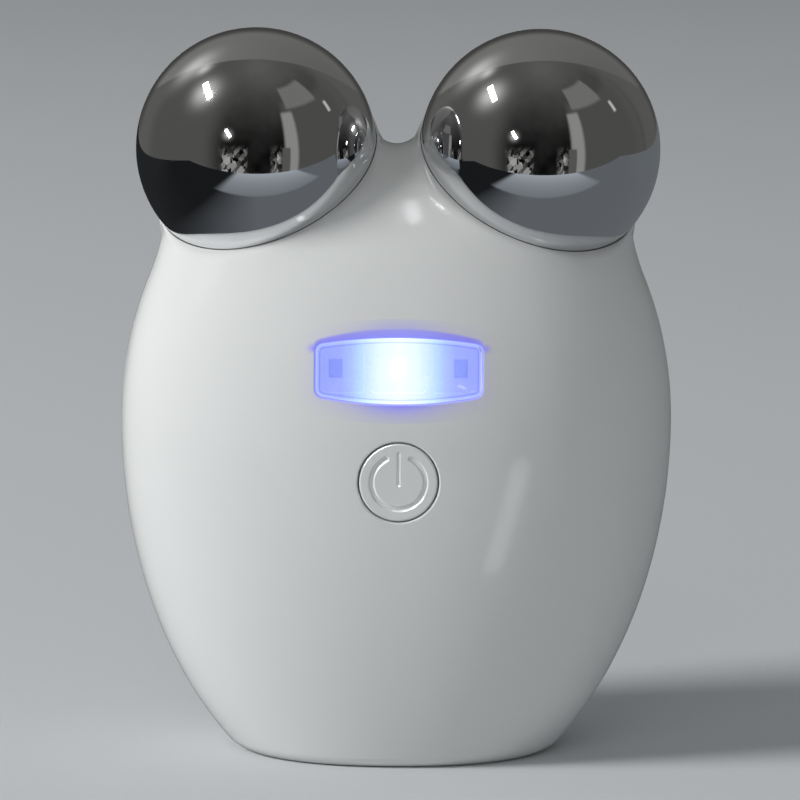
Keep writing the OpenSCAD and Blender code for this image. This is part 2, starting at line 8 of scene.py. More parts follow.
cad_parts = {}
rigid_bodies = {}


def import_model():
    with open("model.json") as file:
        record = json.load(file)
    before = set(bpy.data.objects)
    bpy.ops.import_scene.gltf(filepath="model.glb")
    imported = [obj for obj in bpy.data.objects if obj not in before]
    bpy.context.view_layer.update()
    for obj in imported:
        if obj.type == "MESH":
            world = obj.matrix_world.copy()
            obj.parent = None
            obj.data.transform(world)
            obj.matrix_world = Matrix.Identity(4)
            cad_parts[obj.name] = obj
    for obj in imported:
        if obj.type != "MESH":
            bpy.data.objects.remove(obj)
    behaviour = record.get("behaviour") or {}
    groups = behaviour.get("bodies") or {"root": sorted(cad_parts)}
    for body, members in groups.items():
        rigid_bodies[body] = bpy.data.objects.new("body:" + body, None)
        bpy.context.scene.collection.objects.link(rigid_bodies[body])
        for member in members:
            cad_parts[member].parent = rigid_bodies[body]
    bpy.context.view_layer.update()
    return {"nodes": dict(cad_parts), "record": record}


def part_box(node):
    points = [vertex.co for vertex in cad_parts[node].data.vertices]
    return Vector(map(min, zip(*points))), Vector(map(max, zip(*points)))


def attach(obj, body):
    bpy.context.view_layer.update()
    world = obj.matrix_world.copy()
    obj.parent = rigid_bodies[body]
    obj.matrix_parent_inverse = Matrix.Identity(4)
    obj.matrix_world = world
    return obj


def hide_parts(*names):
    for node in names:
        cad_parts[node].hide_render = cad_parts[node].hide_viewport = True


for leftover in list(bpy.data.objects):
    bpy.data.objects.remove(leftover)
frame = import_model()
nodes = frame["nodes"]
print("frame loaded:", len(nodes), "nodes")

millimetre = 0.001
tiny = 1e-6

# body form, all sizes in mm
bodyForm = {
    "halfWidth": 32.385, "widestHeight": 38.9, "reachUp": 38.6, "reachDown": 47.8,
    "frontDepth": 19.6, "backDepth": 19.57, "deepestHeight": 36.0,
    "frontReachUp": 36.6, "backReachUp": 42.0, "depthReachDown": 52.0, "eggSpan": (-5.0, 73.5),
    "crossPower": 2.25, "wall": 1.8, "baseRound": 1.4, "seamY": -2.2, "seamEdge": 0.1,
    "ballX": 16.5, "ballZ": 71.1, "cupRadius": 14.34, "rimRadius": 14.025, "socketRadius": 14.008,
    "backLip": 1.1, "rimDrop": 3.4, "rimRound": 0.42, "rimEdge": 0.06,
    "leanForward": 30.0, "leanOutward": 23.5,
    "saddleHeight": 70.6, "saddleFall": 0.016, "saddleY": -3.0, "saddleBlend": 3.0,
    "neckBlend": 5.5, "neckBlendRim": 1.6, "neckTaper": 6.0, "hubHeight": 60.1,
    # the seam closes up this far before a lip, over this fade
    "seamStop": 1.9, "seamFade": 0.8,
}
seamY = bodyForm["seamY"]
hubZ = bodyForm["hubHeight"]


def softMin(a, b, k):
    h = np.maximum(k - np.abs(a - b), 0.0) / k
    return np.minimum(a, b) - h * h * k / 4.0


def softMax(a, b, k):
    return -softMin(-a, -b, k)


def unit(v):
    return v / np.maximum(np.linalg.norm(v, axis=-1, keepdims=True), 1e-12)


def ballCentre(side):
    return np.array([side * bodyForm["ballX"], seamY, bodyForm["ballZ"]])


def socketAxis(side):
    out = math.radians(bodyForm["leanOutward"])
    front = math.radians(bodyForm["leanForward"])
    return np.array([side * math.sin(out) * math.cos(front), -math.sin(front),
                     math.cos(out) * math.cos(front)])


def eggSize(p):
    f = bodyForm
    y, z = p[:, 1], np.clip(p[:, 2], *f["eggSpan"])

    def spread(level, up, down):
        t = z - level
        return np.sqrt(np.maximum(1 - (t / np.where(t > 0, up, down)) ** 2, 0.01))

    width = f["halfWidth"] * spread(f["widestHeight"], f["reachUp"], f["reachDown"])
    up = np.where(y < 0, f["frontReachUp"], f["backReachUp"])
    depth = (np.where(y < 0, f["frontDepth"], f["backDepth"])
             * spread(f["deepestHeight"], up, f["depthReachDown"]))
    wx = (np.abs(p[:, 0]) / width) ** f["crossPower"]
    wy = (np.abs(y) / depth) ** f["crossPower"]
    part = wx / (wx + wy + 1e-12)
    grown = (wx + wy) ** (1 / f["crossPower"])
    return (grown - 1) / np.sqrt(part / width ** 2 + (1 - part) / depth ** 2)


def skinSize(p):
    # below zero inside the body, zero on its outer skin
    f = bodyForm
    saddle = p[:, 2] - f["saddleHeight"] + f["saddleFall"] * (p[:, 1] - f["saddleY"]) ** 2
    size = softMax(eggSize(p), saddle, f["saddleBlend"])
    above = []
    for side in (-1, 1):
        away = p - ballCentre(side)
        dist = np.linalg.norm(away, axis=1)
        back = np.maximum(0, away[:, 1] / np.maximum(dist, 0.1))
        above.append(away @ socketAxis(side) + f["rimDrop"])
        # the blend into the socket tapers away at its rim
        t = np.clip(-above[-1] / f["neckTaper"], 0, 1)
        blend = f["neckBlendRim"] + (f["neckBlend"] - f["neckBlendRim"]) * t * (2 - t)
        size = softMin(size, dist - f["cupRadius"] - f["backLip"] * back ** 2, blend)
    for level in above:
        size = softMax(size, level, f["rimRound"])
    return softMax(size, -p[:, 2], f["baseRound"])


def skinSlope(p, h=0.004):
    slope = np.empty_like(p)
    for i, step in enumerate(np.eye(3) * h):
        slope[:, i] = (skinSize(p + step) - skinSize(p - step)) / (2 * h)
    return slope


def skinNormal(p):
    n = unit(skinSlope(p))
    n[p[:, 2] < tiny] = (0, 0, -1)
    return n


def ontoSkin(p, keepY=False):
    p = p.copy()
    for _ in range(4):
        slope = skinSlope(p)
        if keepY:
            slope[:, 1] = 0
        p -= slope * (skinSize(p) / np.maximum((slope ** 2).sum(1), tiny))[:, None]
    return p


def searchRay(start, direction, near=2.0, far=58.0):
    # how far the skin is from each start
    near = np.full(len(start), near)
    far = np.full(len(start), far)
    for _ in range(26):
        mid = (near + far) / 2
        inside = skinSize(start + direction * mid[:, None]) < 0
        near = np.where(inside, mid, near)
        far = np.where(inside, far, mid)
    return (near + far) / 2


def skinAt(x, z, side):
    # y of the skin at x, z on the front (-1) or the back (1)
    x, z = np.broadcast_arrays(np.asarray(x, float), np.asarray(z, float))
    start = np.stack([x.ravel(), np.zeros(x.size), z.ravel()], 1)
    direction = np.tile([0.0, side, 0.0], (x.size, 1))
    return side * searchRay(start, direction, 0.5, 30.0).reshape(x.shape)


# the skin laid flat: turn about the hub, height
turnScale = 0.5
fanScale = 0.42
baseSpan = 20.0
halfTurn = 180 * turnScale
crownV = hubZ + 90 * fanScale
seamSides = ((1, 0.0), (-1, halfTurn))


def fromFlat(side, flat):
    turn = np.radians(flat[:, 0] / turnScale)
    v = flat[:, 1]
    up = np.radians(np.clip((v - hubZ) / fanScale, 0, 90))
    direction = np.stack([np.cos(turn) * np.cos(up), side * np.sin(turn) * np.cos(up),
                          np.sin(up)], 1)
    start = np.stack([0 * v, 0 * v + seamY, np.clip(v, 0.02, hubZ)], 1)
    reach = searchRay(start, direction)
    p = start + direction * (reach * np.where(v < 0, 1 + v / baseSpan, 1))[:, None]
    p[v <= 0.0, 2] = 0
    return p


def toFlat(side, p):
    dx = p[:, 0]
    dy = side * (p[:, 1] - seamY)
    across = np.hypot(dx, dy)
    turn = np.degrees(np.arctan2(np.maximum(dy, 0), dx))
    fan = hubZ + np.degrees(np.arctan2(p[:, 2] - hubZ, across)) * fanScale
    v = np.where(p[:, 2] > hubZ, fan, p[:, 2])
    low = p[:, 2] < tiny
    if low.any():
        rad = np.radians(turn[low])
        direction = np.stack([np.cos(rad), side * np.sin(rad), 0 * rad], 1)
        edge = searchRay(np.tile([0, seamY, 0.02], (low.sum(), 1)), direction)
        v[low] = -baseSpan * (1 - across[low] / edge)
    return np.stack([turn * turnScale, v], 1)


def flatChart(flat):
    # the flat skin rolled up about the crown, angles kept
    turn = flat[:, 0] / turnScale
    perTurn = halfTurn / math.pi
    up = np.radians(np.clip((flat[:, 1] - hubZ) / fanScale, 0, 90))
    rise = np.where(flat[:, 1] > hubZ, 0, flat[:, 1] - hubZ) / perTurn
    radius = np.exp(-rise) * np.tan(math.pi / 4 - up / 2) ** (fanScale / turnScale)
    return radius[:, None] * np.stack([np.cos(np.radians(turn)), np.sin(np.radians(turn))], 1)


def insideLoops(points, loops):
    # even-odd rule over closed loops
    odd = np.zeros(len(points), bool)
    x, y = points[:, 0], points[:, 1]
    for loop in loops:
        for (x1, y1), (x2, y2) in zip(loop, np.roll(loop, -1, axis=0)):
            if y1 != y2:
                odd ^= ((y1 > y) != (y2 > y)) & (x < (x2 - x1) * (y - y1) / (y2 - y1) + x1)
    return odd


def fillLoops(flat, loopIndex):
    # triangles between closed loops of point numbers, by the even-odd rule
    edges = [(int(a), int(b)) for loop in loopIndex for a, b in zip(loop, np.roll(loop, -1))]
    spots = [Vector((float(a), float(b))) for a, b in flat]
    made = geometry.delaunay_2d_cdt(spots, edges, [], 0, 1e-7)
    source = np.array([o[0] if o else -1 for o in made[3]])
    tris = source[np.array([f for f in made[2] if len(f) == 3])]
    tris = tris[(tris >= 0).all(1)]
    tris = tris[insideLoops(flat[tris].mean(1), [flat[loop] for loop in loopIndex])]
    a, b, c = flat[tris[:, 0]], flat[tris[:, 1]], flat[tris[:, 2]]
    area = (b[:, 0] - a[:, 0]) * (c[:, 1] - a[:, 1]) - (b[:, 1] - a[:, 1]) * (c[:, 0] - a[:, 0])
    tris[area < 0] = tris[area < 0][:, ::-1]
    return tris[np.abs(area) > 1e-12]


def openEdges(tris):
    seen = set()
    for a, b, c in tris:
        for e in ((a, b), (b, c), (c, a)):
            if (e[1], e[0]) in seen:
                seen.discard((e[1], e[0]))
            else:
                seen.add((int(e[0]), int(e[1])))
    return sorted(seen)


def newObject(name, data):
    made = bpy.data.objects.new(name, data)
    bpy.context.scene.collection.objects.link(made)
    return made


def makePiece(name, verts, faces, normals=None, values=None):
    # verts in mm; equal points are joined, and faces that shrink to nothing are dropped
    verts = np.asarray(verts, float)
    keys = np.round(verts * 5000).astype(np.int64)
    _, first, back = np.unique(keys, axis=0, return_index=True, return_inverse=True)
    back = back.ravel()
    loops = [list(dict.fromkeys(back[list(face)].tolist())) for face in faces]
    kept = [loop for loop in loops if len(loop) > 2]
    used = np.zeros(len(first), bool)
    used[[i for face in kept for i in face]] = True
    number = np.cumsum(used) - 1
    first = first[used]
    mesh = bpy.data.meshes.new(name)
    mesh.from_pydata((verts[first] * millimetre).tolist(), [],
                     [[int(number[i]) for i in face] for face in kept])
    mesh.polygons.foreach_set("use_smooth", [True] * len(mesh.polygons))
    for key, data in (values or {}).items():
        layer = mesh.attributes.new(key, "FLOAT", "POINT")
        layer.data.foreach_set("value", np.asarray(data, np.float32)[first])
    mesh.update()
    if normals is not None:
        mesh.normals_split_custom_set_from_vertices(np.asarray(normals)[first].tolist())
    return newObject(name, mesh)


# outlines cut in the shells: x, z points
windowForm = {
    "halfWidth": 9.5, "halfHeight": 3.7, "halfEnd": 2.85, "corner": 0.9, "level": 47.4,
    "gap": 0.05, "shellEdge": 0.2, "lensEdge": 0.2, "lensDepth": 0.08, "flange": 0.9,
    "browHeight": 1.05, "browWing": 0.45, "browSlope": 0.3, "browSoft": 0.16, "points": 360,
    "rows": (0.5, 0.68, 0.86, 1.02, 1.16, 1.3, 1.5, 1.8, 2.15), "clear": 2.5,
    "lensRows": (0.6, 0.85, 1.15), "lensGrid": 0.34, "lensClear": 1.35, "lensBack": 0.5,
    "flangeEase": 0.15, "behind": 5.0,
}
openings = {
    "buttonRadius": 4.67, "buttonHeight": 34.7, "buttonEdge": 0.22, "buttonPoints": 132,
    "screwRadius": 2.7, "screwEdge": 0.16, "screwPoints": 84,
    "screwPlaces": [(side * x, z) for side in (-1, 1) for x, z in ((18.8, 52.0), (16.0, 13.0))],
    "portY": 3.55, "portHalfWidth": 4.2, "portHalfDepth": 1.7, "portCorner": 1.0, "portEdge": 0.3,
    "rows": (0.34, 0.5, 0.75, 1.1), "clear": 1.45,
}


def windowOutline(grow):
    f = windowForm
    w, mid, end = f["halfWidth"] + grow, f["halfHeight"] + grow, f["halfEnd"] + grow
    corner = f["corner"] + grow
    arc = (w * w + (mid - end) ** 2) / (2 * (mid - end))
    ends = w - corner
    xs = np.linspace(ends, -ends, 200)
    top = np.stack([xs, mid - arc + np.sqrt(arc ** 2 - xs ** 2)], 1)
    turn = np.radians(np.linspace(0, 90, 24))
    right = np.stack([ends + corner * np.cos(turn),
                      top[0, 1] - corner + corner * np.sin(turn)], 1)
    upper = np.vstack([right, top[1:-1], (right * [-1, 1])[::-1]])
    loop = np.vstack([upper, (upper * [-1, -1])])
    for size in (f["points"] * 4, f["points"]):
        step = np.linalg.norm(np.roll(loop, -1, 0) - loop, axis=1)
        along = np.concatenate([[0], np.cumsum(step)])
        closed = np.vstack([loop, loop[:1]])
        at = np.linspace(0, along[-1], size, endpoint=False)
        loop = np.stack([np.interp(at, along, closed[:, i]) for i in range(2)], 1)
        if size > f["points"]:  # soften the joins between arcs and corners
            for _ in range(60):
                loop = (np.roll(loop, 1, 0) + loop * 2 + np.roll(loop, -1, 0)) / 4
    return loop + [0, f["level"]]


def circleOutline(x, z, r, count):
    turn = np.linspace(0, 2 * math.pi, count, endpoint=False)
    return np.stack([x + r * np.cos(turn), z + r * np.sin(turn)], 1)


def boxOutline(middle, halfWidth, halfHeight, corner, count):
    turn = np.radians(np.linspace(0, 90, count))
    one = np.stack([halfWidth - corner + corner * np.cos(turn),
                    halfHeight - corner + corner * np.sin(turn)], 1)
    return np.vstack([one, (one * [-1, 1])[::-1], -one, (one * [1, -1])[::-1]]) + middle


def standing(flat, y):
    # x, z points at the depth y
    return np.stack([flat[:, 0], np.broadcast_to(np.asarray(y, float), (len(flat),)),
                     flat[:, 1]], 1)


def edgeRows(r):
    # rows of a rounding of radius r: distance from the edge, how deep, how the normal leans
    turn = np.radians([0, 14, 28, 42, 56, 70, 80, 90])
    return r * (1 - np.cos(turn)), r * (1 - np.sin(turn)), np.cos(turn)


def roundOff(away, r):
    # how deep a rounded edge of radius r lies at a distance from it
    t = np.clip(away / r, 0, 1)
    return r * (1 - np.sqrt(np.maximum(1 - (1 - t) ** 2, 0)))


def browDrop(s, height):
    # soft chamfer that falls towards the window over the last few tenths
    half = windowForm["browSlope"] * 0.5
    t = height - s
    root = np.sqrt(t * t + windowForm["browSoft"] ** 2)
    drop = half * (t + root) - half * 0.02
    slope = -half * (1 + t / root)
    live = height > 0.02
    fade = np.clip(height / 0.4, 0, 1)
    return (np.where(live, np.maximum(drop, 0) * fade, 0),
            np.where(live & (drop > 0), slope * fade, 0))


def browOver(outline):
    # height of the brow over each point of the window
    f = windowForm
    x = outline[:, 0] / f["halfWidth"]
    rise = np.clip((outline[:, 1] - f["level"]) / f["halfEnd"], 0, 1)
    over = f["browWing"] + (f["browHeight"] - f["browWing"]) * np.clip(1 - x ** 2, 0, 1)
    return over * np.clip(rise * 2.6 - 1.6, 0, 1)


def rimCurve(side, ball, count):
    # the socket's lip on one half of the body, from the outer seam crossing to the inner one
    centre = ballCentre(ball)
    axis = socketAxis(ball)
    first = unit(np.cross(axis, [0, 1, 0]))
    second = np.cross(axis, first)

    def place(turn):
        around = np.cos(turn)[:, None] * first + np.sin(turn)[:, None] * second
        low, high = (np.full(len(turn), math.radians(bound)) for bound in (75, 140))
        for _ in range(40):
            mid = (low + high) / 2
            lean = np.cos(mid)[:, None] * axis + np.sin(mid)[:, None] * around
            p = centre + bodyForm["rimRadius"] * lean
            out = skinSize(p) > 0
            low, high = np.where(out, mid, low), np.where(out, high, mid)
        return p

    turns = np.linspace(0, 2 * math.pi, 721)
    off = place(turns)[:, 1] - seamY
    crossings = []
    for i in np.nonzero(off[:-1] * off[1:] <= 0)[0]:
        a, b = turns[i], turns[i + 1]
        for _ in range(40):
            m = (a + b) / 2
            if (place(np.array([m]))[0, 1] - seamY) * off[i] > 0:
                a = m
            else:
                b = m
        crossings.append((a + b) / 2)
    a, b = crossings[:2]
    middle = place(np.array([(a + b) / 2]))[0, 1] - seamY
    if middle * side < 0:
        a, b = b, a + 2 * math.pi
    arc = place(np.linspace(a, b, count))
    if abs(arc[0, 0]) < abs(arc[-1, 0]):
        arc = arc[::-1]
    arc[0, 1] = arc[-1, 1] = seamY
    return arc


def outFrom(middle, p, along):
    # across a line on the skin, away from its middle
    out = unit(np.cross(skinNormal(p), along))
    return -out if ((p - middle) * out).sum() < 0 else out


rimForm = {
    "points": 260, "clear": 1.72, "seamGaps": (0.035, 0.07, 0.11, 0.19),
    # rows keep this far from the seam, more with each mm, and are thinned past a distance
    "seamClear": 0.27, "seamSpread": 0.1, "thinFrom": 0.6,
    "rows": (0.025, 0.055, 0.09, 0.14, 0.21, 0.3, 0.4, 0.52, 0.68, 0.88, 1.12, 1.42),
}
# the grid on the skin: turns near a seam in degrees, shares of the base, steps up the body
gridForm = {
    "nearSeam": (0.07, 0.16, 0.3, 0.5, 0.85, 1.4, 2.2, 3.2), "turnStep": 0.95,
    "base": (0, 0.12, 0.25, 0.38, 0.5, 0.61, 0.71, 0.8, 0.88, 0.94, 0.98),
    "overBase": (1.7, 2.1, 2.7), "riseStep": 0.74, "crownStep": 1.2, "thinned": 6,
}


class SkinPoints:
    # points on one half of the skin; a row holds x, y, z, sink, lean, lean's way, glow (distance
    # for the painted window glow) and brow (share of painted brow light)
    def __init__(self, side):
        self.side = side
        self.tables = []
        self.loops = []
        self.bands = []  # lines that grid points keep clear of, and how far
        self.straight = []  # points whose wall runs straight back
        self.arcs = {}
        self.laid = []  # points whose place on the flat skin is known

    def add(self, p, depth=0.0, tilt=0.0, outward=0.0, shine=99.0, cover=0.0):
        start = sum(len(rows) for rows in self.tables)
        rows = np.zeros((len(p), 10))
        for part, value in ((slice(0, 3), p), (3, depth), (4, tilt), (slice(5, 8), outward),
                            (8, shine), (9, cover)):
            rows[:, part] = value
        self.tables.append(rows)
        return np.arange(start, start + len(p))


def cutsOf(side):
    # outlines cut in one half: points, radius of the edge, kind
    o = openings
    if side < 0:
        button = circleOutline(0, o["buttonHeight"], o["buttonRadius"], o["buttonPoints"])
        return [(button, o["buttonEdge"], "button"),
                (windowOutline(windowForm["gap"]), windowForm["shellEdge"], "window")]
    port = boxOutline((0, o["portY"]), o["portHalfWidth"], o["portHalfDepth"], o["portCorner"], 12)
    screws = [circleOutline(*place, o["screwRadius"], o["screwPoints"])
              for place in o["screwPlaces"]]
    return [(screw, o["screwEdge"], "screw") for screw in screws] + [(port, o["portEdge"], "port")]


def addCut(skin, outline, edge, kind):
    # rings of points round an opening, its rounded edge first
    if kind == "port":
        p = np.stack([outline[:, 0], outline[:, 1], 0 * outline[:, 0]], 1)
    else:
        p = standing(outline, skinAt(outline[:, 0], outline[:, 1], skin.side))
    out = outFrom(p.mean(0), p, unit(np.roll(p, -1, 0) - np.roll(p, 1, 0)))
    window = kind == "window"
    height = browOver(outline) if window else np.zeros(len(p))
    form = windowForm if window else openings
    extra = np.array(form["rows"])
    extra = extra[extra > edge * 1.25]
    rows = np.vstack([np.stack(edgeRows(edge), 1), np.stack([extra, 0 * extra, 0 * extra], 1)])
    for s, drop, tilt in rows:
        q = p + out * s if kind == "port" else ontoSkin(p + out * s)
        more, slope = browDrop(s, height)
        lean = np.arctan2(tilt, math.sqrt(max(1 - tilt * tilt, 0))) + np.arctan(-slope)
        # how much of the painted light on the brow falls on this row
        cover = (np.clip((height - s) / 0.3 + 0.6, 0, 1) * np.clip(height / 0.3, 0, 1)
                 * (1 - 0.35 * min(s, 1.2) / 1.2))
        ring = skin.add(q, drop + more, np.sin(np.minimum(lean, math.pi / 2)), -out,
                        s if window else 99.0, cover)
        if s == 0:
            skin.loops.append(ring)
            skin.straight += [] if kind == "port" else ring.tolist()
    skin.bands.append((p, form["clear"]))


def addRim(skin, ball):
    arc = rimCurve(skin.side, ball, rimForm["points"])
    middle = ballCentre(ball) - socketAxis(ball) * bodyForm["rimDrop"]
    out = outFrom(middle, arc, np.gradient(arc, axis=0))
    skin.arcs[ball] = skin.add(arc)
    for s in rimForm["rows"]:
        q = ontoSkin(arc + out * s)
        ok = skin.side * (q[:, 1] - seamY) > rimForm["seamClear"] + rimForm["seamSpread"] * s
        ok &= np.arange(len(q)) % (1 if s < rimForm["thinFrom"] else 2) == 0
        skin.add(q[ok])
    skin.bands.append((arc, rimForm["clear"]))


def addSeam(skin, ball, u, rows):
    # the seam from the base up to a lip and on from its other end, and the chain they make
    side, arc = skin.side, skin.arcs[ball]
    ends = np.concatenate(skin.tables)[arc[[0, -1]], :3]
    steps = []
    for tip, level, sign in zip(ends, toFlat(side, ends)[:, 1], (-1, 1)):
        way = unit(np.cross(skinNormal(tip[None])[0], [0, 1, 0]))
        if (toFlat(side, (tip + way * 0.3)[None])[0, 1] - level) * sign < 0:
            way = -way
        spots = ontoSkin(tip + way * np.array(rimForm["rows"])[:, None], keepY=True)
        steps.append(np.sort(toFlat(side, spots)[:, 1]))
    chain = [None, arc, None]
    tips = []
    reach = len(rimForm["rows"])
    for place, v, near in ((0, [rows[rows < steps[0][0] - 0.2], steps[0]], slice(-reach, None)),
                           (2, [steps[1], rows[rows > steps[1][-1] + 0.2]], slice(reach))):
        v = np.concatenate(v)
        flat = np.stack([np.full(len(v), u), v], 1)
        spots = fromFlat(side, flat)
        spots[:, 1] = seamY
        chain[place] = skin.add(spots)
        skin.laid.append((chain[place], flat))
        tips.append(spots[near])
    # the fine edge of the seam goes on up to the lip
    for gap in rimForm["seamGaps"]:
        q = ontoSkin(np.vstack(tips) + [0, side * gap, 0])
        off = np.linalg.norm(q - ballCentre(ball), axis=1)
        skin.add(q[off > bodyForm["rimRadius"] + 0.02])
    return np.concatenate(chain)


def addGrid(skin, turns, rows):
    # grid points that keep clear of every loop, fewer of them near the base's middle and the crown
    uu, vv = np.meshgrid(turns * turnScale, rows[1:-1])
    grid = np.stack([uu.ravel(), vv.ravel()], 1)
    thin = (grid[:, 1] < -0.9 * baseSpan) | (grid[:, 1] > crownV - 3)
    column = np.tile(np.arange(len(turns)), len(rows) - 2)
    grid = grid[~thin | (column % gridForm["thinned"] == 0)]
    p = fromFlat(skin.side, grid)
    keep = np.ones(len(p), bool)
    for ring, clear in skin.bands:
        tree = kdtree.KDTree(len(ring))
        for i, c in enumerate(ring):
            tree.insert(c, i)
        tree.balance()
        box = (p > ring.min(0) - clear).all(1) & (p < ring.max(0) + clear).all(1)
        for i in np.nonzero(box)[0]:
            if tree.find(p[i])[2] < clear:
                keep[i] = False
    skin.laid.append((skin.add(p[keep]), grid[keep]))


def roundEdges(skin, p, n, sink, lean, away):
    # how deep each point sinks and its normal: openings, lips, and a fine edge along the seam
    form = bodyForm
    toSeam = skin.side * (p[:, 1] - seamY)
    across = np.zeros_like(p)
    across[:, 1] = -skin.side
    r = form["seamEdge"]
    s = np.clip(toSeam / np.sqrt(np.maximum(1 - n[:, 1] ** 2, 0.05)), 0, r)
    seamTurn = np.arccos(np.clip(1 - s / r, 0, 1))
    # the seam's edge closes up before it reaches a lip
    tips = p[[i for arc in skin.arcs.values() for i in (arc[0], arc[-1])]]
    toTip = np.linalg.norm(p[:, None] - tips[None], axis=2).min(1)
    live = (toSeam < r) & (p[:, 2] >= tiny)
    seamOpen = np.clip((toTip - form["seamStop"]) / form["seamFade"], 0, 1) * live
    for ball in (1, -1):
        offset = p - ballCentre(ball)
        dist = np.linalg.norm(offset, axis=1)
        radial = offset / dist[:, None]
        run = (dist - form["rimRadius"]) / np.sqrt(np.maximum(1 - (n * radial).sum(1) ** 2, 0.09))
        share = 1 - np.clip(run / form["rimEdge"], 0, 1)
        close = (share > lean) & (share > 0)
        lean = np.where(close, share, lean)
        sink = np.where(close, form["rimEdge"] * (1 - np.sqrt(1 - share ** 2)), sink)
        away = np.where(close[:, None], -radial, away)
    seamLean = np.cos(seamTurn) * seamOpen
    way = np.where((seamLean > lean)[:, None], across, away)
    tilt = np.maximum(seamLean, lean)
    way = unit(way - n * (way * n).sum(1)[:, None])
    normal = unit(n * np.sqrt(np.maximum(1 - tilt ** 2, 0))[:, None] + way * tilt[:, None])
    return sink, sink + r * (1 - np.sin(seamTurn)) * seamOpen, normal


def innerLayer(skin, p, n, inward):
    # one wall in, or the socket's cavity where that is nearer
    form = bodyForm
    wall, hollow, straight = form["wall"], form["socketRadius"], skin.straight
    inner = p + inward * wall
    inner[straight] = p[straight]
    inner[straight, 1] -= skin.side * wall / np.maximum(np.abs(n[straight, 1]), 0.3)
    for ball in (1, -1):
        centre, axis = ballCentre(ball), socketAxis(ball)
        offset = p - centre
        dist = np.linalg.norm(offset, axis=1)
        thin = dist - hollow < wall
        # under the lip the cavity starts a little below the rim
        depth = -(offset @ axis)
        under = (np.clip(1 - (depth - form["rimDrop"]) / 3.0, 0, 1)
                 * (0.25 + 0.9 * np.maximum(dist - form["rimRadius"], 0)))
        deep = np.clip(hollow * depth / dist + under, -hollow * 0.99, hollow * 0.99)
        around = unit(offset + depth[:, None] * axis)
        spot = centre - deep[:, None] * axis + around * np.sqrt(hollow ** 2 - deep ** 2)[:, None]
        inner[thin] = spot[thin]
        offset = inner - centre
        dist = np.linalg.norm(offset, axis=1)
        hit = dist < hollow
        inner[hit] = centre + offset[hit] * (hollow / dist[hit])[:, None]
    inner[:, 2] = np.maximum(inner[:, 2], wall)
    return inner


def shellHalf(name, side):
    g = gridForm
    rise = np.linspace(0.12, 1, 11) ** 2 * bodyForm["baseRound"]
    rows = np.concatenate([
        -baseSpan * (1 - np.array(g["base"])), [0.0], rise[1:], g["overBase"],
        np.arange(3.4, hubZ - 0.3, g["riseStep"]), [hubZ],
        hubZ + np.arange(g["crownStep"], 89.5, g["crownStep"]) * fanScale, [crownV]])
    near = np.array(g["nearSeam"])
    turns = np.concatenate([near, np.arange(4.2, 175.9, g["turnStep"]), 180 - near[::-1]])
    skin = SkinPoints(side)
    for cut in cutsOf(side):
        addCut(skin, *cut)
    for ball in (1, -1):
        addRim(skin, ball)
    right, left = (addSeam(skin, ball, u, rows) for ball, u in seamSides)
    few = turns[4:-4:g["thinned"]] * turnScale
    few = np.stack([few, np.full(len(few), -baseSpan)], 1)
    base = skin.add(fromFlat(side, few))
    skin.laid.append((base, few))
    loops = [np.concatenate([right, left[:-1][::-1], base[::-1]])] + skin.loops
    addGrid(skin, turns, rows)

    table = np.concatenate(skin.tables)
    p = table[:, :3].copy()
    flat = toFlat(side, p)
    for index, spots in skin.laid:
        flat[index] = spots
    for ball, u in seamSides:
        flat[skin.arcs[ball][[0, -1]], 0] = u
    tris = fillLoops(flatChart(flat), loops)
    n = skinNormal(p)
    sink, sunk, normal = roundEdges(skin, p, n, table[:, 3], table[:, 4], table[:, 5:8])
    onSeam = side * (p[:, 1] - seamY) < tiny
    inward = -n
    inward[onSeam, 1] = 0
    inward = unit(inward)
    outer = p + inward * sunk[:, None]
    low = p[:, 2] < tiny
    outer[low] = p[low]
    outer[low, 2] = sink[low]
    inner = innerLayer(skin, p, n, inward)
    inner[onSeam, 1] = seamY
    a, b, c = outer[tris[:, 0]], outer[tris[:, 1]], outer[tris[:, 2]]
    if (np.cross(b - a, c - a) * n[tris].mean(1)).sum() < 0:
        tris = tris[:, ::-1]
    count = len(p)
    faces = tris.tolist() + (tris[:, ::-1] + count).tolist()
    faces += [[b, a, a + count, b + count] for a, b in openEdges(tris)]
    # window distance drives the painted window glow, brow cover the painted brow light
    glow, brow = table[:, 8], table[:, 9]
    piece = makePiece(name, np.vstack([outer, inner]), faces, np.vstack([normal, np.zeros_like(p)]),
                      {"windowDistance": np.concatenate([glow, glow + 2]),
                       "browCover": np.concatenate([brow, 0 * glow])})
    print(name, len(piece.data.polygons), "faces")
    return piece


shells = {-1: shellHalf("bodyFront", -1), 1: shellHalf("bodyBack", 1)}


# a piece behind the skin: a face that follows a height rule, then rings of points behind it
def ringPiece(name, side, outline, inner, heightAt, rings, values=None):
    flat = np.vstack([outline, inner])
    tris = fillLoops(flat, [np.arange(len(outline))])
    h = 0.004

    def slope(dx, dz):
        return (heightAt(flat[:, 0] + dx, flat[:, 1] + dz)
                - heightAt(flat[:, 0] - dx, flat[:, 1] - dz)) / (2 * h)

    y = heightAt(flat[:, 0], flat[:, 1])
    normal = unit(np.stack([slope(h, 0), -np.ones(len(y)), slope(0, h)], 1)) * (-side)
    faces = tris.tolist()
    count = len(outline)
    last, start = np.arange(count), len(flat)
    for _ in rings:
        here = np.arange(start, start + count)
        for i in range(count):
            j = (i + 1) % count
            faces.append([int(last[j]), int(last[i]), int(here[i]), int(here[j])])
        last = here
        start += count
    faces += [[int(last[(i + 1) % count]), int(last[i]), start] for i in range(count)]
    if side > 0:
        faces = [face[::-1] for face in faces]
    verts = np.vstack([standing(flat, y), *rings, rings[-1].mean(0)[None]])
    blank = np.zeros((len(verts) - len(flat), 3))
    return makePiece(name, verts, faces, np.vstack([normal, blank]), values)


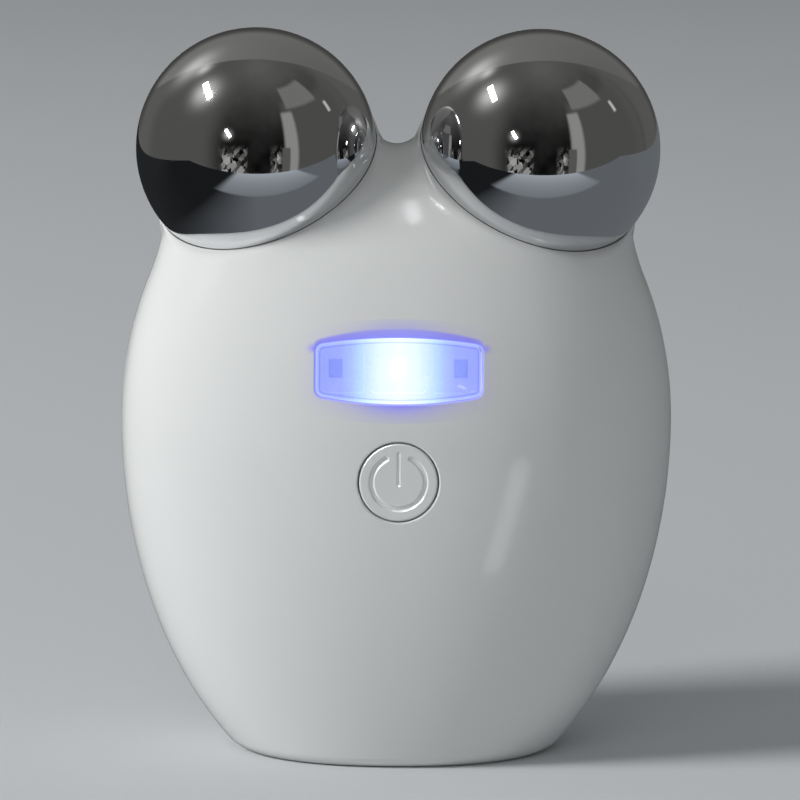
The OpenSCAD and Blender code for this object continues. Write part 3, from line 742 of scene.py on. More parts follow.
def staggeredGrid(low, high, step):
    xs = np.arange(low[0], high[0], step)
    zs = np.arange(low[1], high[1], step * 0.866)
    uu, vv = np.meshgrid(xs, zs)
    uu = uu + (np.arange(len(zs)) % 2)[:, None] * step / 2
    return np.stack([uu.ravel(), vv.ravel()], 1)


def offsetLoop(loop, inside):
    along = np.roll(loop, -1, 0) - np.roll(loop, 1, 0)
    out = unit(np.stack([along[:, 1], -along[:, 0]], 1))
    return loop - out * inside


def distanceTo(points, loop):
    # distance to a closed line
    best = np.full(len(points), 1e9)
    for (ax, ay), (bx, by) in zip(loop, np.roll(loop, -1, 0) - loop):
        dx, dy = points[:, 0] - ax, points[:, 1] - ay
        t = np.clip((dx * bx + dy * by) / (bx * bx + by * by), 0, 1)
        best = np.minimum(best, np.hypot(dx - t * bx, dy - t * by))
    return best


buttonForm = {
    "radius": 4.5, "height": 34.7, "proud": 0.03, "edge": 0.26, "dish": 0.12, "points": 180,
    "ringRadius": 3.08, "ringHalf": 0.27, "gapTurn": 27.0,
    "barTop": 3.48, "barLow": -0.42, "barHalf": 0.15, "engraved": 0.17, "wallRun": 0.21,
    "wallRows": (-0.12, -0.04, 0.04, 0.12), "grid": 0.17,
    "flangeY": -16.92, "flangeRadius": 5.85, "flangeThick": 0.8, "postRadius": 1.6,
    "postEnd": -15.43, "ease": 0.1, "sideStart": 0.04, "ringPoints": 230, "barPoints": 60,
    "endPoints": 18,
}


def strokeSize(x, z):
    # below zero inside the engraved open ring and its bar
    f = buttonForm
    r, gap = f["ringRadius"], math.radians(f["gapTurn"])
    turn = np.degrees(np.arctan2(np.abs(x), z))
    toEnd = np.hypot(np.abs(x) - r * math.sin(gap), z - r * math.cos(gap))
    ring = np.where(turn > f["gapTurn"], np.abs(np.hypot(x, z) - r), toEnd) - f["ringHalf"]
    mid = np.clip(z, f["barLow"] + f["barHalf"], f["barTop"] - f["barHalf"])
    return np.minimum(ring, np.hypot(x, z - mid) - f["barHalf"])


def strokeLines():
    # lines along both walls of the ring and the bar
    f = buttonForm
    gap = math.radians(f["gapTurn"])
    around = np.radians(np.linspace(0, 180, f["endPoints"])[1:-1])
    lines = []
    for level in f["wallRows"]:
        half = f["ringHalf"] + level
        turn = np.radians(np.linspace(f["gapTurn"], 360 - f["gapTurn"], f["ringPoints"]))
        for r in (f["ringRadius"] - half, f["ringRadius"] + half):
            lines.append(np.stack([r * np.sin(turn), r * np.cos(turn)], 1))
        for sign in (-1, 1):
            out = np.array([sign * math.sin(gap), math.cos(gap)])
            back = np.array([-sign * math.cos(gap), math.sin(gap)])
            lines.append(f["ringRadius"] * out + half * (np.cos(around)[:, None] * out
                                                         + np.sin(around)[:, None] * back))
        half = f["barHalf"] + level
        zs = np.linspace(f["barLow"] + f["barHalf"], f["barTop"] - f["barHalf"],
                         f["barPoints"])
        lines += [np.stack([0 * zs + half, zs], 1), np.stack([0 * zs - half, zs], 1),
                  np.stack([half * np.cos(around), zs[-1] + half * np.sin(around)], 1),
                  np.stack([half * np.cos(around), zs[0] - half * np.sin(around)], 1)]
    return np.vstack(lines)


def powerButton():
    f = buttonForm
    outline = circleOutline(0, f["height"], f["radius"], f["points"])
    edge = [offsetLoop(outline, s) for s in edgeRows(f["edge"])[0][1:]]
    grid = staggeredGrid((-f["radius"], -f["radius"]), (f["radius"], f["radius"]), f["grid"])
    grid = grid[(np.hypot(grid[:, 0], grid[:, 1]) < f["radius"] - f["edge"] - f["ease"])]
    grid = grid[np.abs(strokeSize(grid[:, 0], grid[:, 1])) > f["grid"]]
    inner = np.vstack(edge + [strokeLines() + [0, f["height"]], grid + [0, f["height"]]])

    def heightAt(x, z):
        r = np.hypot(x, z - f["height"])
        step = np.clip(0.5 - strokeSize(x, z - f["height"]) / f["wallRun"], 0, 1)
        cut = f["engraved"] * step * step * (3 - 2 * step)
        dish = f["dish"] * np.maximum(0, 1 - (r / f["radius"]) ** 2)
        return skinAt(x, z, -1) + f["proud"] + roundOff(f["radius"] - r, f["edge"]) + cut + dish

    front, back = f["flangeY"], f["flangeY"] + f["flangeThick"]
    ease, post, end = f["ease"], f["postRadius"], f["postEnd"]
    rings = [standing(outline, heightAt(outline[:, 0], outline[:, 1]) + f["sideStart"])]
    for r, y in ((f["radius"], front - ease), (f["radius"], front), (f["flangeRadius"], front),
                 (f["flangeRadius"], back), (post, back), (post, end - ease), (post - ease, end)):
        rings.append(standing(circleOutline(0, f["height"], r, f["points"]), y))
    return ringPiece("powerButtonCap", -1, outline, inner, heightAt, rings)


def windowLens():
    f = windowForm
    outline = windowOutline(0.0)
    rows = [*edgeRows(f["lensEdge"])[0][1:], *f["lensRows"]]
    inner = [offsetLoop(outline, s)[::(1 if s < 0.5 else 2)] for s in rows]
    grid = staggeredGrid((-f["halfWidth"], f["level"] - f["halfHeight"]),
                         (f["halfWidth"], f["level"] + f["halfHeight"]), f["lensGrid"])
    grid = grid[insideLoops(grid, [outline])]
    grid = grid[distanceTo(grid, outline) > f["lensClear"]]
    inner = np.vstack(inner + [grid])

    def heightAt(x, z):
        s = distanceTo(np.stack([x, z], 1), outline)
        return skinAt(x, z, -1) + f["lensDepth"] + roundOff(s, f["lensEdge"])

    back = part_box("status_window")[1].y / millimetre
    front = back - f["lensBack"]
    grown = windowOutline(f["flange"] - f["flangeEase"])
    rings = [standing(outline, front), standing(grown, front), standing(grown, back)]
    edge = distanceTo(np.vstack([outline, inner]), outline)
    behind = np.full(len(outline) * len(rings) + 1, f["behind"])
    return ringPiece("statusWindowLens", -1, outline, inner, heightAt, rings,
                     {"edgeDistance": np.concatenate([edge, behind])})


plugForm = {"gap": 0.06, "edge": 0.2, "sunk": 0.1, "dimple": 0.18, "dimpleWidth": 0.45,
            "length": 4.9, "grid": 0.28, "points": 72}


def screwPlugs():
    f = plugForm
    r = openings["screwRadius"] - f["gap"]
    made = []
    for px, pz in openings["screwPlaces"]:
        outline = circleOutline(px, pz, r, f["points"])
        inner = [offsetLoop(outline, s) for s in edgeRows(f["edge"])[0][1:]]
        grid = staggeredGrid((px - r, pz - r), (px + r, pz + r), f["grid"])
        inner.append(grid[np.hypot(grid[:, 0] - px, grid[:, 1] - pz) < r - 0.3])

        def heightAt(x, z, px=px, pz=pz):
            away = np.hypot(x - px, z - pz)
            dimple = f["dimple"] * np.exp(-(away / f["dimpleWidth"]) ** 2)
            return skinAt(x, z, 1) - f["sunk"] - roundOff(r - away, f["edge"]) - dimple

        rings = [standing(outline, float(skinAt(px, pz, 1)) - f["length"])]
        made.append(ringPiece("screwPlug", 1, outline, np.vstack(inner), heightAt, rings))
    return joinPieces("screwPlugs", made)


def joinPieces(name, parts):
    mesh = bmesh.new()
    for part in parts:
        mesh.from_mesh(part.data)
        bpy.data.objects.remove(part)
    data = bpy.data.meshes.new(name)
    mesh.to_mesh(data)
    mesh.free()
    return newObject(name, data)


buttonCap = powerButton()
lens = windowLens()
plugs = screwPlugs()
print("button, window and plugs made")


# node trees: a wire is a socket that takes part in sums, each of which adds a Math node
class Wire:
    def __init__(self, tree, socket):
        self.tree, self.socket = tree, socket

    def __abs__(self):
        return self.tree.sum("ABSOLUTE", self)


for word, operation in (("add", "ADD"), ("sub", "SUBTRACT"), ("mul", "MULTIPLY"),
                        ("truediv", "DIVIDE"), ("pow", "POWER")):
    setattr(Wire, "__%s__" % word, lambda self, other, operation=operation:
            self.tree.sum(operation, self, other))
    setattr(Wire, "__r%s__" % word, lambda self, other, operation=operation:
            self.tree.sum(operation, other, self))


class Tree:
    def __init__(self, tree):
        self.tree = tree

    def put(self, socket, value):
        if isinstance(value, Wire):
            self.tree.links.new(value.socket, socket)
        elif socket.type == "RGBA":
            socket.default_value = (*value, 1)
        else:
            socket.default_value = value

    def node(self, kind, inputs=None, **settings):
        node = self.tree.nodes.new(kind)
        for key, value in settings.items():
            setattr(node, key, value)
        for key, value in (inputs or {}).items():
            self.put(node.inputs[key], value)
        return node

    def get(self, kind, inputs=None, output=0, **settings):
        return Wire(self, self.node(kind, inputs, **settings).outputs[output])

    def sum(self, operation, *values, clamp=False):
        return self.get("ShaderNodeMath", dict(enumerate(values)), operation=operation,
                        use_clamp=clamp)

    def axes(self, vector):
        node = self.node("ShaderNodeSeparateXYZ", {0: vector})
        return [Wire(self, socket) for socket in node.outputs]

    def noise(self, vector, scale, detail=2.0, rough=0.5):
        return self.get("ShaderNodeTexNoise", {"Vector": vector, "Scale": scale,
                                               "Detail": detail, "Roughness": rough})

    def ramp(self, value, low, high, to0, to1, **settings):
        return self.get("ShaderNodeMapRange", {"Value": value, "From Min": low, "From Max": high,
                                               "To Min": to0, "To Max": to1}, **settings)

    def softBox(self, value, middle, half, soft):
        # 1 within half of the middle, 0 past it, over a soft edge
        return self.ramp(abs(value - middle), half - soft / 2, half + soft / 2, 1.0, 0.0,
                         interpolation_type="SMOOTHSTEP")

    def blend(self, share, a, b):
        return self.get("ShaderNodeMix", {0: share, 2: a, 3: b}, data_type="FLOAT")

    def mix(self, share, a, b):
        return self.get("ShaderNodeMix", {0: share, 6: a, 7: b}, 2, data_type="RGBA")


def newGroup(name, kind, inputs, outputs):
    # inputs are a label, a kind of socket and often a value
    group = Tree(bpy.data.node_groups.new(name, kind))
    for way, sockets in (("INPUT", inputs), ("OUTPUT", outputs)):
        for label, sort, *value in sockets:
            socket = group.tree.interface.new_socket(label, in_out=way,
                                                     socket_type="NodeSocket" + sort)
            if value:
                socket.default_value = value[0]
    given = group.node("NodeGroupInput").outputs
    group.given = {socket.name: Wire(group, socket) for socket in given}
    group.result = group.node("NodeGroupOutput")
    return group


def endGroup(group, **values):
    for key, value in values.items():
        group.put(group.result.inputs[key], value)
    return group.tree


def endShape(group, geometry):
    smooth = group.get("GeometryNodeSetShadeSmooth", {"Geometry": geometry})
    real = group.get("GeometryNodeRealizeInstances", {"Geometry": smooth})
    return endGroup(group, Geometry=group.get("GeometryNodeSetMaterial", {
        "Geometry": real, "Material": group.given["Finish"]}))


def bakeTree(name, tree, values, base=None):
    # runs the tree on a base mesh and keeps the result as a plain mesh
    holder = newObject(name + "Base", base or bpy.data.meshes.new(name + "Base"))
    modifier = holder.modifiers.new(name, "NODES")
    modifier.node_group = tree
    for item in tree.interface.items_tree:
        if item.item_type == "SOCKET" and item.in_out == "INPUT" and item.name in values:
            modifier[item.identifier] = values[item.name]
    bpy.context.view_layer.update()
    graph = bpy.context.evaluated_depsgraph_get()
    data = bpy.data.meshes.new_from_object(holder.evaluated_get(graph))
    data.name = name
    bpy.data.objects.remove(holder)
    shape = bmesh.new()
    shape.from_mesh(data)
    bmesh.ops.remove_doubles(shape, verts=shape.verts, dist=1e-7)
    bmesh.ops.recalc_face_normals(shape, faces=shape.faces)
    shape.to_mesh(data)
    shape.free()
    return newObject(name, data)


ballForm = {"radius": 13.996, "wall": 0.9, "foot": 9.0, "columns": 161, "rows": 140}


def ballTree():
    group = newGroup("hollowBall", "GeometryNodeTree", [
        ("Geometry", "Geometry"), ("Radius", "Float"), ("Wall", "Float"), ("Foot depth", "Float"),
        ("Columns", "Int"), ("Rows", "Int"), ("Centre", "Vector"), ("Lean", "Vector"),
        ("Finish", "Material")], [("Geometry", "Geometry")])
    given = group.given
    grid = group.get("GeometryNodeMeshGrid", {
        "Size X": 1.0, "Size Y": 1.0, "Vertices X": given["Columns"], "Vertices Y": given["Rows"]})
    x, y, _ = group.axes(group.get("GeometryNodeInputPosition"))
    turn = (x + 0.5) * (2 * math.pi)
    along = y + 0.5
    # the last row of the inner skin meets the first of the outer one at the foot
    rows = given["Rows"] - 1.0
    half = group.sum("FLOOR", rows / 2.0) / rows
    outside = group.sum("GREATER_THAN", along, 0.5)
    radius = given["Radius"] - given["Wall"] + outside * given["Wall"]
    share = group.sum("MINIMUM", group.sum("MINIMUM", along, 1.0 - along) / half, 1.0)
    polar = share * group.sum("ARCCOSINE", given["Foot depth"] / radius * -1.0)
    across = radius * group.sum("SINE", polar)
    spot = group.get("ShaderNodeCombineXYZ", {
        0: across * group.sum("COSINE", turn), 1: across * group.sum("SINE", turn),
        2: radius * group.sum("COSINE", polar)})
    shaped = group.get("GeometryNodeSetPosition", {"Geometry": grid, "Position": spot})
    joined = group.get("GeometryNodeMergeByDistance", {"Geometry": shaped, "Distance": tiny})
    return endShape(group, group.get("GeometryNodeTransform", {
        "Geometry": joined, "Translation": given["Centre"], "Rotation": given["Lean"]}))


def leadTree():
    group = newGroup("softLead", "GeometryNodeTree", [
        ("Geometry", "Geometry"), ("Radius", "Float"), ("Bend", "Float"), ("Sides", "Int"),
        ("Finish", "Material")], [("Geometry", "Geometry")])
    given = group.given
    curve = group.get("GeometryNodeMeshToCurve", {"Mesh": given["Geometry"]})
    bent = group.get("GeometryNodeFilletCurve", {
        "Curve": curve, "Count": 7, "Radius": given["Bend"], "Limit Radius": True}, mode="POLY")
    ring = group.get("GeometryNodeCurvePrimitiveCircle", {
        "Resolution": given["Sides"], "Radius": given["Radius"]})
    return endShape(group, group.get("GeometryNodeCurveToMesh", {
        "Curve": bent, "Profile Curve": ring, "Fill Caps": True}))


# shared surface effects
def mouldedGroup():
    # faint waviness of a polished mould, and tiny specks
    group = newGroup("mouldedSkin", "ShaderNodeTree",
                     [("Vector", "Vector"), ("Wave", "Float", 1.0), ("Speck", "Float", 1.0)],
                     [("Height", "Float"), ("Tone", "Float")])
    place, speck = group.given["Vector"], group.given["Speck"] * 0.06
    height = group.noise(place, 260.0) * group.given["Wave"] + group.noise(place, 5200.0) * speck
    tone = group.ramp(group.noise(place, 28.0, 3.0), 0.3, 0.7, 0.0, 1.0)
    return endGroup(group, Height=height, Tone=tone)


def touchGroup():
    # faint wiping marks and finger haze: a mask that only changes gloss
    group = newGroup("wipeMarks", "ShaderNodeTree",
                     [("Vector", "Vector"), ("Size", "Float", 1.0)], [("Mask", "Float")])
    place = group.given["Vector"]
    stretched = group.get("ShaderNodeMapping", {"Vector": place, "Rotation": (0.3, 0.5, 0.9),
                                                "Scale": (1.0, 5.0, 1.6)})
    streak = group.ramp(group.noise(stretched, 90.0, 5.0, 0.62), 0.48, 0.72, 0.0, 1.0)
    patch = group.ramp(group.noise(place, 42.0), 0.42, 0.66, 0.0, 1.0)
    mask = group.sum("MULTIPLY", streak, patch, clamp=True)
    return endGroup(group, Mask=mask * group.given["Size"])


def grainGroup():
    # fine even grain for boards, foam, brass and lamps
    group = newGroup("fineGrain", "ShaderNodeTree",
                     [("Vector", "Vector"), ("Scale", "Float", 2500.0), ("Low", "Color"),
                      ("High", "Color")], [("Color", "Color"), ("Height", "Float")])
    given = group.given
    spread = group.ramp(group.noise(given["Vector"], given["Scale"], 4.0, 0.6), 0.3, 0.7, 0.0, 1.0)
    return endGroup(group, Color=group.mix(spread, given["Low"], given["High"]), Height=spread)


def edgeGroup():
    # a mask that rises on convex edges, where the colour is made lighter
    group = newGroup("lighterEdge", "ShaderNodeTree",
                     [("Amount", "Float", 1.0)], [("Mask", "Float")])
    pointed = group.get("ShaderNodeNewGeometry", output="Pointiness")
    convexShare = group.ramp(pointed, 0.52, 0.6, 0.0, 1.0)
    return endGroup(group, Mask=group.sum("MULTIPLY", convexShare, group.given["Amount"], clamp=True))


mouldedSkin, wipeMarks, fineGrain, lighterEdge = (
    mouldedGroup(), touchGroup(), grainGroup(), edgeGroup())


class Paint(Tree):
    # a material's tree, with Object coordinates
    def __init__(self, name):
        self.material = bpy.data.materials.new(name)
        self.material.use_nodes = True
        super().__init__(self.material.node_tree)
        self.place = self.get("ShaderNodeTexCoord", output="Object")


class Finish(Paint):
    # a material with one Principled shader
    def __init__(self, name, values):
        super().__init__(name)
        self.shader = self.tree.nodes["Principled BSDF"]
        self.to(values)

    def to(self, values):
        for key, value in values.items():
            self.put(self.shader.inputs[key], value)

    def group(self, tree, **values):
        node = self.node("ShaderNodeGroup", node_tree=tree)
        if "Vector" in node.inputs:
            values["Vector"] = self.place
        for key, value in values.items():
            self.put(node.inputs[key], value)
        return {socket.name: Wire(self, socket) for socket in node.outputs}

    def bump(self, height, distance, strength):
        self.to({"Normal": self.get("ShaderNodeBump", {
            "Height": height, "Distance": distance, "Strength": strength})})

    def attribute(self, name):
        return self.get("ShaderNodeAttribute", output="Fac", attribute_name=name)

    def glossBy(self, mask, low, high):
        self.to({"Roughness": self.ramp(mask, 0.0, 1.0, low, high)})


euler = 2.718
# painted glow on the body round the window: how far it reaches, how fast it falls, its soft wings
glowForm = {
    "halfReach": 0.0052, "fall": -0.95, "middle": 0.75, "rest": 0.1, "wall": 0.22,
    "wingAcross": (0.0097, 0.0008, 0.0012), "wingUp": (0.0499, 0.0004, 0.001), "browShare": 0.76,
    "tint": (0.16, 0.14, 0.72), "deep": (0.085, 0.075, 0.62), "wallTone": (0.22, 0.26, 0.95),
    "bright": (0.22, 0.25, 0.95), "level": 0.9,
}


def windowShine(f, colour):
    # painted light that the window and its brow cast on the body, strongest in the middle
    g = glowForm
    near, brow = f.attribute("windowDistance"), f.attribute("browCover")
    x, _, z = f.axes(f.place)
    across = x * (1 / g["halfReach"])
    middle = euler ** (across * across * -1.0)
    spread = euler ** (near * g["fall"]) * (middle * g["middle"] + g["rest"])
    wall = f.ramp(near, 0.0, g["wall"], 1.0, 0.0)
    # the painted brow glow runs on past the window's upper corners
    wing = f.softBox(abs(x), *g["wingAcross"]) * f.softBox(z, *g["wingUp"])
    brow = f.sum("MAXIMUM", brow, wing * f.ramp(near, 0.2, 1.5, 0.95, 0.0))
    tint = f.sum("MAXIMUM", brow * g["browShare"], f.sum("MAXIMUM", spread, wall), clamp=True)
    lit = f.mix(wall, g["deep"], g["wallTone"])
    # a paler painted highlight on the middle of the brow
    lit = f.mix(brow * middle * 0.55, lit, g["bright"])
    f.to({"Emission Color": f.mix(tint, (0, 0, 0), lit), "Emission Strength": g["level"]})
    # the base colour is also tinted blue where the glow is painted
    return f.mix(tint, colour, g["tint"])


def glossWhite(name, low, high, gloss, glow=False):
    f = Finish(name, {"IOR": 1.5})
    skin = f.group(mouldedSkin, Wave=1.0, Speck=1.0)
    marks = f.group(wipeMarks, Size=1.0)
    colour = f.mix(skin["Tone"], low, high)
    f.glossBy(marks["Mask"], gloss, gloss + 0.13)
    f.bump(skin["Height"], 0.000012, 0.5)
    f.to({"Base Color": windowShine(f, colour) if glow else colour})
    return f.material


def chromeFinish(name, tone):
    f = Finish(name, {"Metallic": 1.0, "Base Color": tone})
    f.glossBy(f.group(wipeMarks, Size=1.0)["Mask"], 0.022, 0.12)
    f.bump(f.group(mouldedSkin, Wave=0.6, Speck=0.2)["Height"], 0.000004, 0.3)
    return f.material


def grainFinish(name, low, high, wear, worn, gloss, scale, depth, strength, metal=0.0):
    f = Finish(name, {"Metallic": metal})
    grain = f.group(fineGrain, Scale=scale, Low=low, High=high)
    # lighter colour along convex edges
    mask = f.group(lighterEdge, Amount=wear)["Mask"]
    f.to({"Base Color": f.mix(mask, grain["Color"], worn)})
    f.glossBy(grain["Height"], *gloss)
    f.bump(grain["Height"], depth, strength)
    return f.material


def metalFinish(name, low, high, rough, scale=3000.0):
    return grainFinish(name, low, high, 0.5, [min(1, c * 1.25) for c in high],
                       (rough * 0.8, rough * 1.35), scale, 0.00001, 0.4, 1.0)


def plasticFinish(name, low, high, rough, scale=2200.0, depth=0.00001):
    return grainFinish(name, low, high, 0.3, [min(1, c * 1.5 + 0.02) for c in high],
                       (max(rough - 0.08, 0.05), rough + 0.1), scale, depth, 0.5)


# painted light behind the window: colour stops from the lit lamp outwards, over a half width in mm
windowLight = {
    "halfWidth": 10.5, "level": 46.9, "grainTone": (0.05, 0.06, 0.5), "haloTone": (0.80, 0.95, 1.0),
    "stops": [(0.0, (0.86, 1.0, 1.0)), (0.2, (0.74, 0.90, 1.0)), (0.32, (0.60, 0.78, 1.0)),
              (0.42, (0.45, 0.65, 1.0)), (0.5, (0.37, 0.50, 0.97)), (0.62, (0.31, 0.38, 0.80)),
              (0.84, (0.29, 0.35, 0.74)), (1.0, (0.24, 0.29, 0.70))],
}


def windowTones(f):
    # distance from the lit lamp, height in mm, and the light's colour with a fine grain
    across, _, up = f.axes(f.place)
    x = abs(across) * 1000.0
    share = x / windowLight["halfWidth"]
    node = f.node("ShaderNodeValToRGB", {0: share})
    stops = node.color_ramp.elements
    while len(stops) < len(windowLight["stops"]):
        stops.new(0.5)
    for stop, (at, colour) in zip(stops, windowLight["stops"]):
        stop.position = at
        stop.color = (*colour, 1)
    grain = f.ramp(f.noise(f.place, 5200.0, 3.0, 0.75), 0.35, 0.75, 0.0, 0.2)
    return x, up * 1000.0, f.mix(grain, Wire(f, node.outputs[0]), windowLight["grainTone"])


def trayGlow():
    # the lamp tray glows with painted light from the lamps, with a pale painted halo round the
    # middle one
    f = Finish("lampTrayGlow", {"Roughness": 0.5, "Base Color": (0.05, 0.045, 0.16)})
    x, up, colour = windowTones(f)
    z = up - windowLight["level"]
    halo = euler ** ((x * x + z * z * 0.4) * -0.3)
    f.to({"Emission Color": f.mix(halo, colour, windowLight["haloTone"]),
          "Emission Strength": 0.85})
    return f.material


def lampFinish(name, low, high, strength):
    f = Finish(name, {"Roughness": 0.35, "Emission Strength": strength})
    grain = f.group(fineGrain, Scale=3800.0, Low=low, High=high)
    f.to({"Base Color": grain["Color"], "Emission Color": grain["Color"]})
    return f.material


def lensFinish(name, clear, stepped, rim, between):
    # clear plastic with a faint painted glow of its own, brighter at the rim: most of the light
    # comes from the lamps behind it
    f = Finish(name, {"Transmission Weight": 1.0, "IOR": 1.12, "Coat Weight": 0.5,
                      "Coat Roughness": 0.08, "Emission Strength": 0.17})
    f.glossBy(f.group(wipeMarks, Size=1.0)["Mask"], 0.05, 0.14)
    # a fine line where the lens is stepped near its edge
    edge = f.attribute("edgeDistance")
    line = f.softBox(edge, 0.46, 0.07, 0.1)
    # a painted bright glow along the rim of the lens
    tone = f.mix(f.ramp(edge, 0.1, 0.44, 0.6, 0.0), windowTones(f)[2], rim)
    f.to({"Base Color": f.mix(line, clear, stepped),
          "Emission Color": f.mix(line * 0.55, tone, between)})
    return f.material


white = (0.80, 0.81, 0.805), (0.775, 0.785, 0.775)
finishForms = {
    "white_body": (glossWhite, *white, 0.11, True),
    "white_button": (glossWhite, *white, 0.07),
    "soft_plug": (plasticFinish, (0.70, 0.71, 0.70), (0.76, 0.77, 0.76), 0.5),
    "chrome_ball": (chromeFinish, (0.83, 0.84, 0.86)),
    "dark_plastic": (plasticFinish, (0.035, 0.036, 0.04), (0.055, 0.056, 0.062), 0.5),
    "black_plastic": (plasticFinish, (0.012, 0.012, 0.014), (0.024, 0.024, 0.028), 0.45),
    "grey_plastic": (plasticFinish, (0.60, 0.60, 0.585), (0.67, 0.67, 0.655), 0.45),
    "cream_plastic": (plasticFinish, (0.78, 0.74, 0.62), (0.84, 0.80, 0.69), 0.4),
    "clear_window": (lensFinish, (0.95, 0.95, 1.0), (0.62, 0.66, 1.0), (1.5, 1.8, 3.2),
                     (0.02, 0.03, 0.3)),
    "light_off": (lampFinish, (0.15, 0.20, 0.52), (0.19, 0.24, 0.58), 0.55),
    "light_blue": (lampFinish, (0.84, 0.97, 1.0), (0.9, 1.0, 1.0), 2.2),
    "switch_red": (plasticFinish, (0.28, 0.03, 0.03), (0.36, 0.05, 0.04), 0.4),
    "circuit_board": (plasticFinish, (0.01, 0.09, 0.045), (0.02, 0.15, 0.07), 0.35, 900.0),
    "chip_black": (plasticFinish, (0.01, 0.01, 0.012), (0.022, 0.022, 0.024), 0.6),
    "ferrite": (plasticFinish, (0.05, 0.05, 0.055), (0.1, 0.1, 0.105), 0.75, 3500.0, 0.00003),
    "ceramic": (plasticFinish, (0.36, 0.27, 0.16), (0.46, 0.35, 0.22), 0.45),
    "brass_leaf": (metalFinish, (0.66, 0.46, 0.20), (0.78, 0.58, 0.28), 0.28),
    "tinned_lug": (metalFinish, (0.62, 0.61, 0.55), (0.74, 0.72, 0.66), 0.35),
    "steel_screw": (metalFinish, (0.42, 0.43, 0.45), (0.56, 0.57, 0.59), 0.3),
    "port_steel": (metalFinish, (0.52, 0.54, 0.57), (0.66, 0.68, 0.70), 0.25),
    "foil_cell": (metalFinish, (0.55, 0.57, 0.60), (0.68, 0.70, 0.73), 0.38, 700.0),
    "foam_pad": (plasticFinish, (0.02, 0.02, 0.022), (0.06, 0.06, 0.062), 0.95, 1500.0, 0.0002),
    "lead_red": (plasticFinish, (0.42, 0.02, 0.015), (0.52, 0.04, 0.03), 0.4),
    "lead_black": (plasticFinish, (0.012, 0.012, 0.014), (0.025, 0.025, 0.027), 0.4),
    "lead_white": (plasticFinish, (0.72, 0.72, 0.70), (0.80, 0.80, 0.78), 0.4),
}


def camelName(slot):
    first, *rest = slot.split("_")
    return first + "".join(word.title() for word in rest)


finishes = {slot: make(camelName(slot), *values)
            for slot, (make, *values) in finishForms.items()}
print("finishes made")


def dress(piece, slot, body, node):
    piece.data.materials.clear()
    piece.data.materials.append(finishes[slot])
    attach(piece, body)
    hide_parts(node)


balls = {}
hollowBall = ballTree()
for side, label in ((-1, "left"), (1, "right")):
    balls[label] = bakeTree(label + "Ball", hollowBall, {
        "Radius": ballForm["radius"] * millimetre, "Wall": ballForm["wall"] * millimetre,
        "Foot depth": ballForm["foot"] * millimetre, "Columns": ballForm["columns"],
        "Rows": ballForm["rows"],
        "Centre": tuple(float(c) * millimetre for c in ballCentre(side)),
        "Lean": (math.radians(bodyForm["leanForward"]),
                 math.radians(side * bodyForm["leanOutward"]), 0),
        "Finish": finishes["chrome_ball"]})


def batteryRoute(x):
    return [(x, -5.6, 17.78), (x, -5.6, 16.3), (x, -7.2, 15.1), (x, -9.2, 14.2), (x, -10.2, 12.5)]


def electrodeRoute(side):
    return [(side * x, y, z) for x, y, z in (
        (6.04, 5.575, 60.963), (4.573, 5.575, 61.601), (3.7, 1.6, 61.2), (3.5, -2, 60.4),
        (3.7, -6.2, 58.6), (4.4, -8.6, 56), (4.6, -10.1, 53.6), (4.6, -11.38, 53.6))]


def chargeRoute(x):
    return [(x, 1.23, 6.6), (x, -0.55, 6.6), (x, -8.2, 8.8), (x, -10.6, 11), (x, -11.38, 11)]


leadForm = {"bend": 1.4, "sides": 20}
leadRoutes = {
    "batteryLeadRed": ("battery_lead_red", "lead_red", 0.42, [batteryRoute(-4.8)]),
    "batteryLeadBlack": ("battery_lead_black", "lead_black", 0.42, [batteryRoute(-2.2)]),
    "leftElectrodeLead": ("left_electrode_lead", "lead_white", 0.45, [electrodeRoute(-1)]),
    "rightElectrodeLead": ("right_electrode_lead", "lead_black", 0.45, [electrodeRoute(1)]),
    "chargeLeads": ("charge_leads", "lead_red", 0.36, [chargeRoute(2), chargeRoute(4)]),
}
softLead = leadTree()
for label, (node, slot, radius, routes) in leadRoutes.items():
    base = bpy.data.meshes.new(label + "Route")
    spots, edges = [], []
    for route in routes:
        first = len(spots)
        spots += [tuple(c * millimetre for c in p) for p in route]
        edges += [(first + i, first + i + 1) for i in range(len(route) - 1)]
    base.from_pydata(spots, edges, [])
    lead = bakeTree(label, softLead, {
        "Radius": radius * millimetre, "Bend": leadForm["bend"] * millimetre,
        "Sides": leadForm["sides"], "Finish": finishes[slot]}, base)
    dress(lead, slot, "housing", node)

trayForm = {"corner": 0.6, "cellCorner": 0.5, "level": 47.2, "halfHeight": 3.0, "back": 0.12,
            "cells": ((-10.1, -3.85), (-3.15, 3.15), (3.85, 10.1)), "cornerPoints": 7}


def lampTray():
    # frame between the lamps: rounded cells through a plate, with a floor against the board
    f = trayForm
    low, high = (np.array(corner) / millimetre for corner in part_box("light_shroud"))
    middle, half = (low + high) / 2, (high - low) / 2
    loops = [boxOutline(middle[[0, 2]], half[0], half[2], f["corner"], f["cornerPoints"])]
    for x1, x2 in f["cells"]:
        loops.append(boxOutline(((x1 + x2) / 2, f["level"]), (x2 - x1) / 2, f["halfHeight"],
                                f["cellCorner"], f["cornerPoints"]))
    flat = np.vstack(loops)
    count = len(flat)
    number = np.split(np.arange(count), np.cumsum([len(loop) for loop in loops])[:-1])
    plate = fillLoops(flat, number)
    ground = fillLoops(flat, number[:1])
    faces = plate.tolist()
    for a, b in openEdges(plate):
        down = 2 * count if a in number[0] and b in number[0] else count
        faces.append([b, a, a + down, b + down])
    inCell = insideLoops(flat[ground].mean(1), [flat[n] for n in number[1:]])
    faces += (ground[inCell] + count).tolist() + (ground[:, ::-1] + 2 * count).tolist()
    verts = [standing(flat, y) for y in (low[1], high[1] - f["back"], high[1])]
    made = makePiece("lampTray", np.vstack(verts), faces)
    made.data.polygons.foreach_set("use_smooth", [False] * len(made.data.polygons))
    return made


tray = lampTray()
print("balls, leads and lamp tray made")

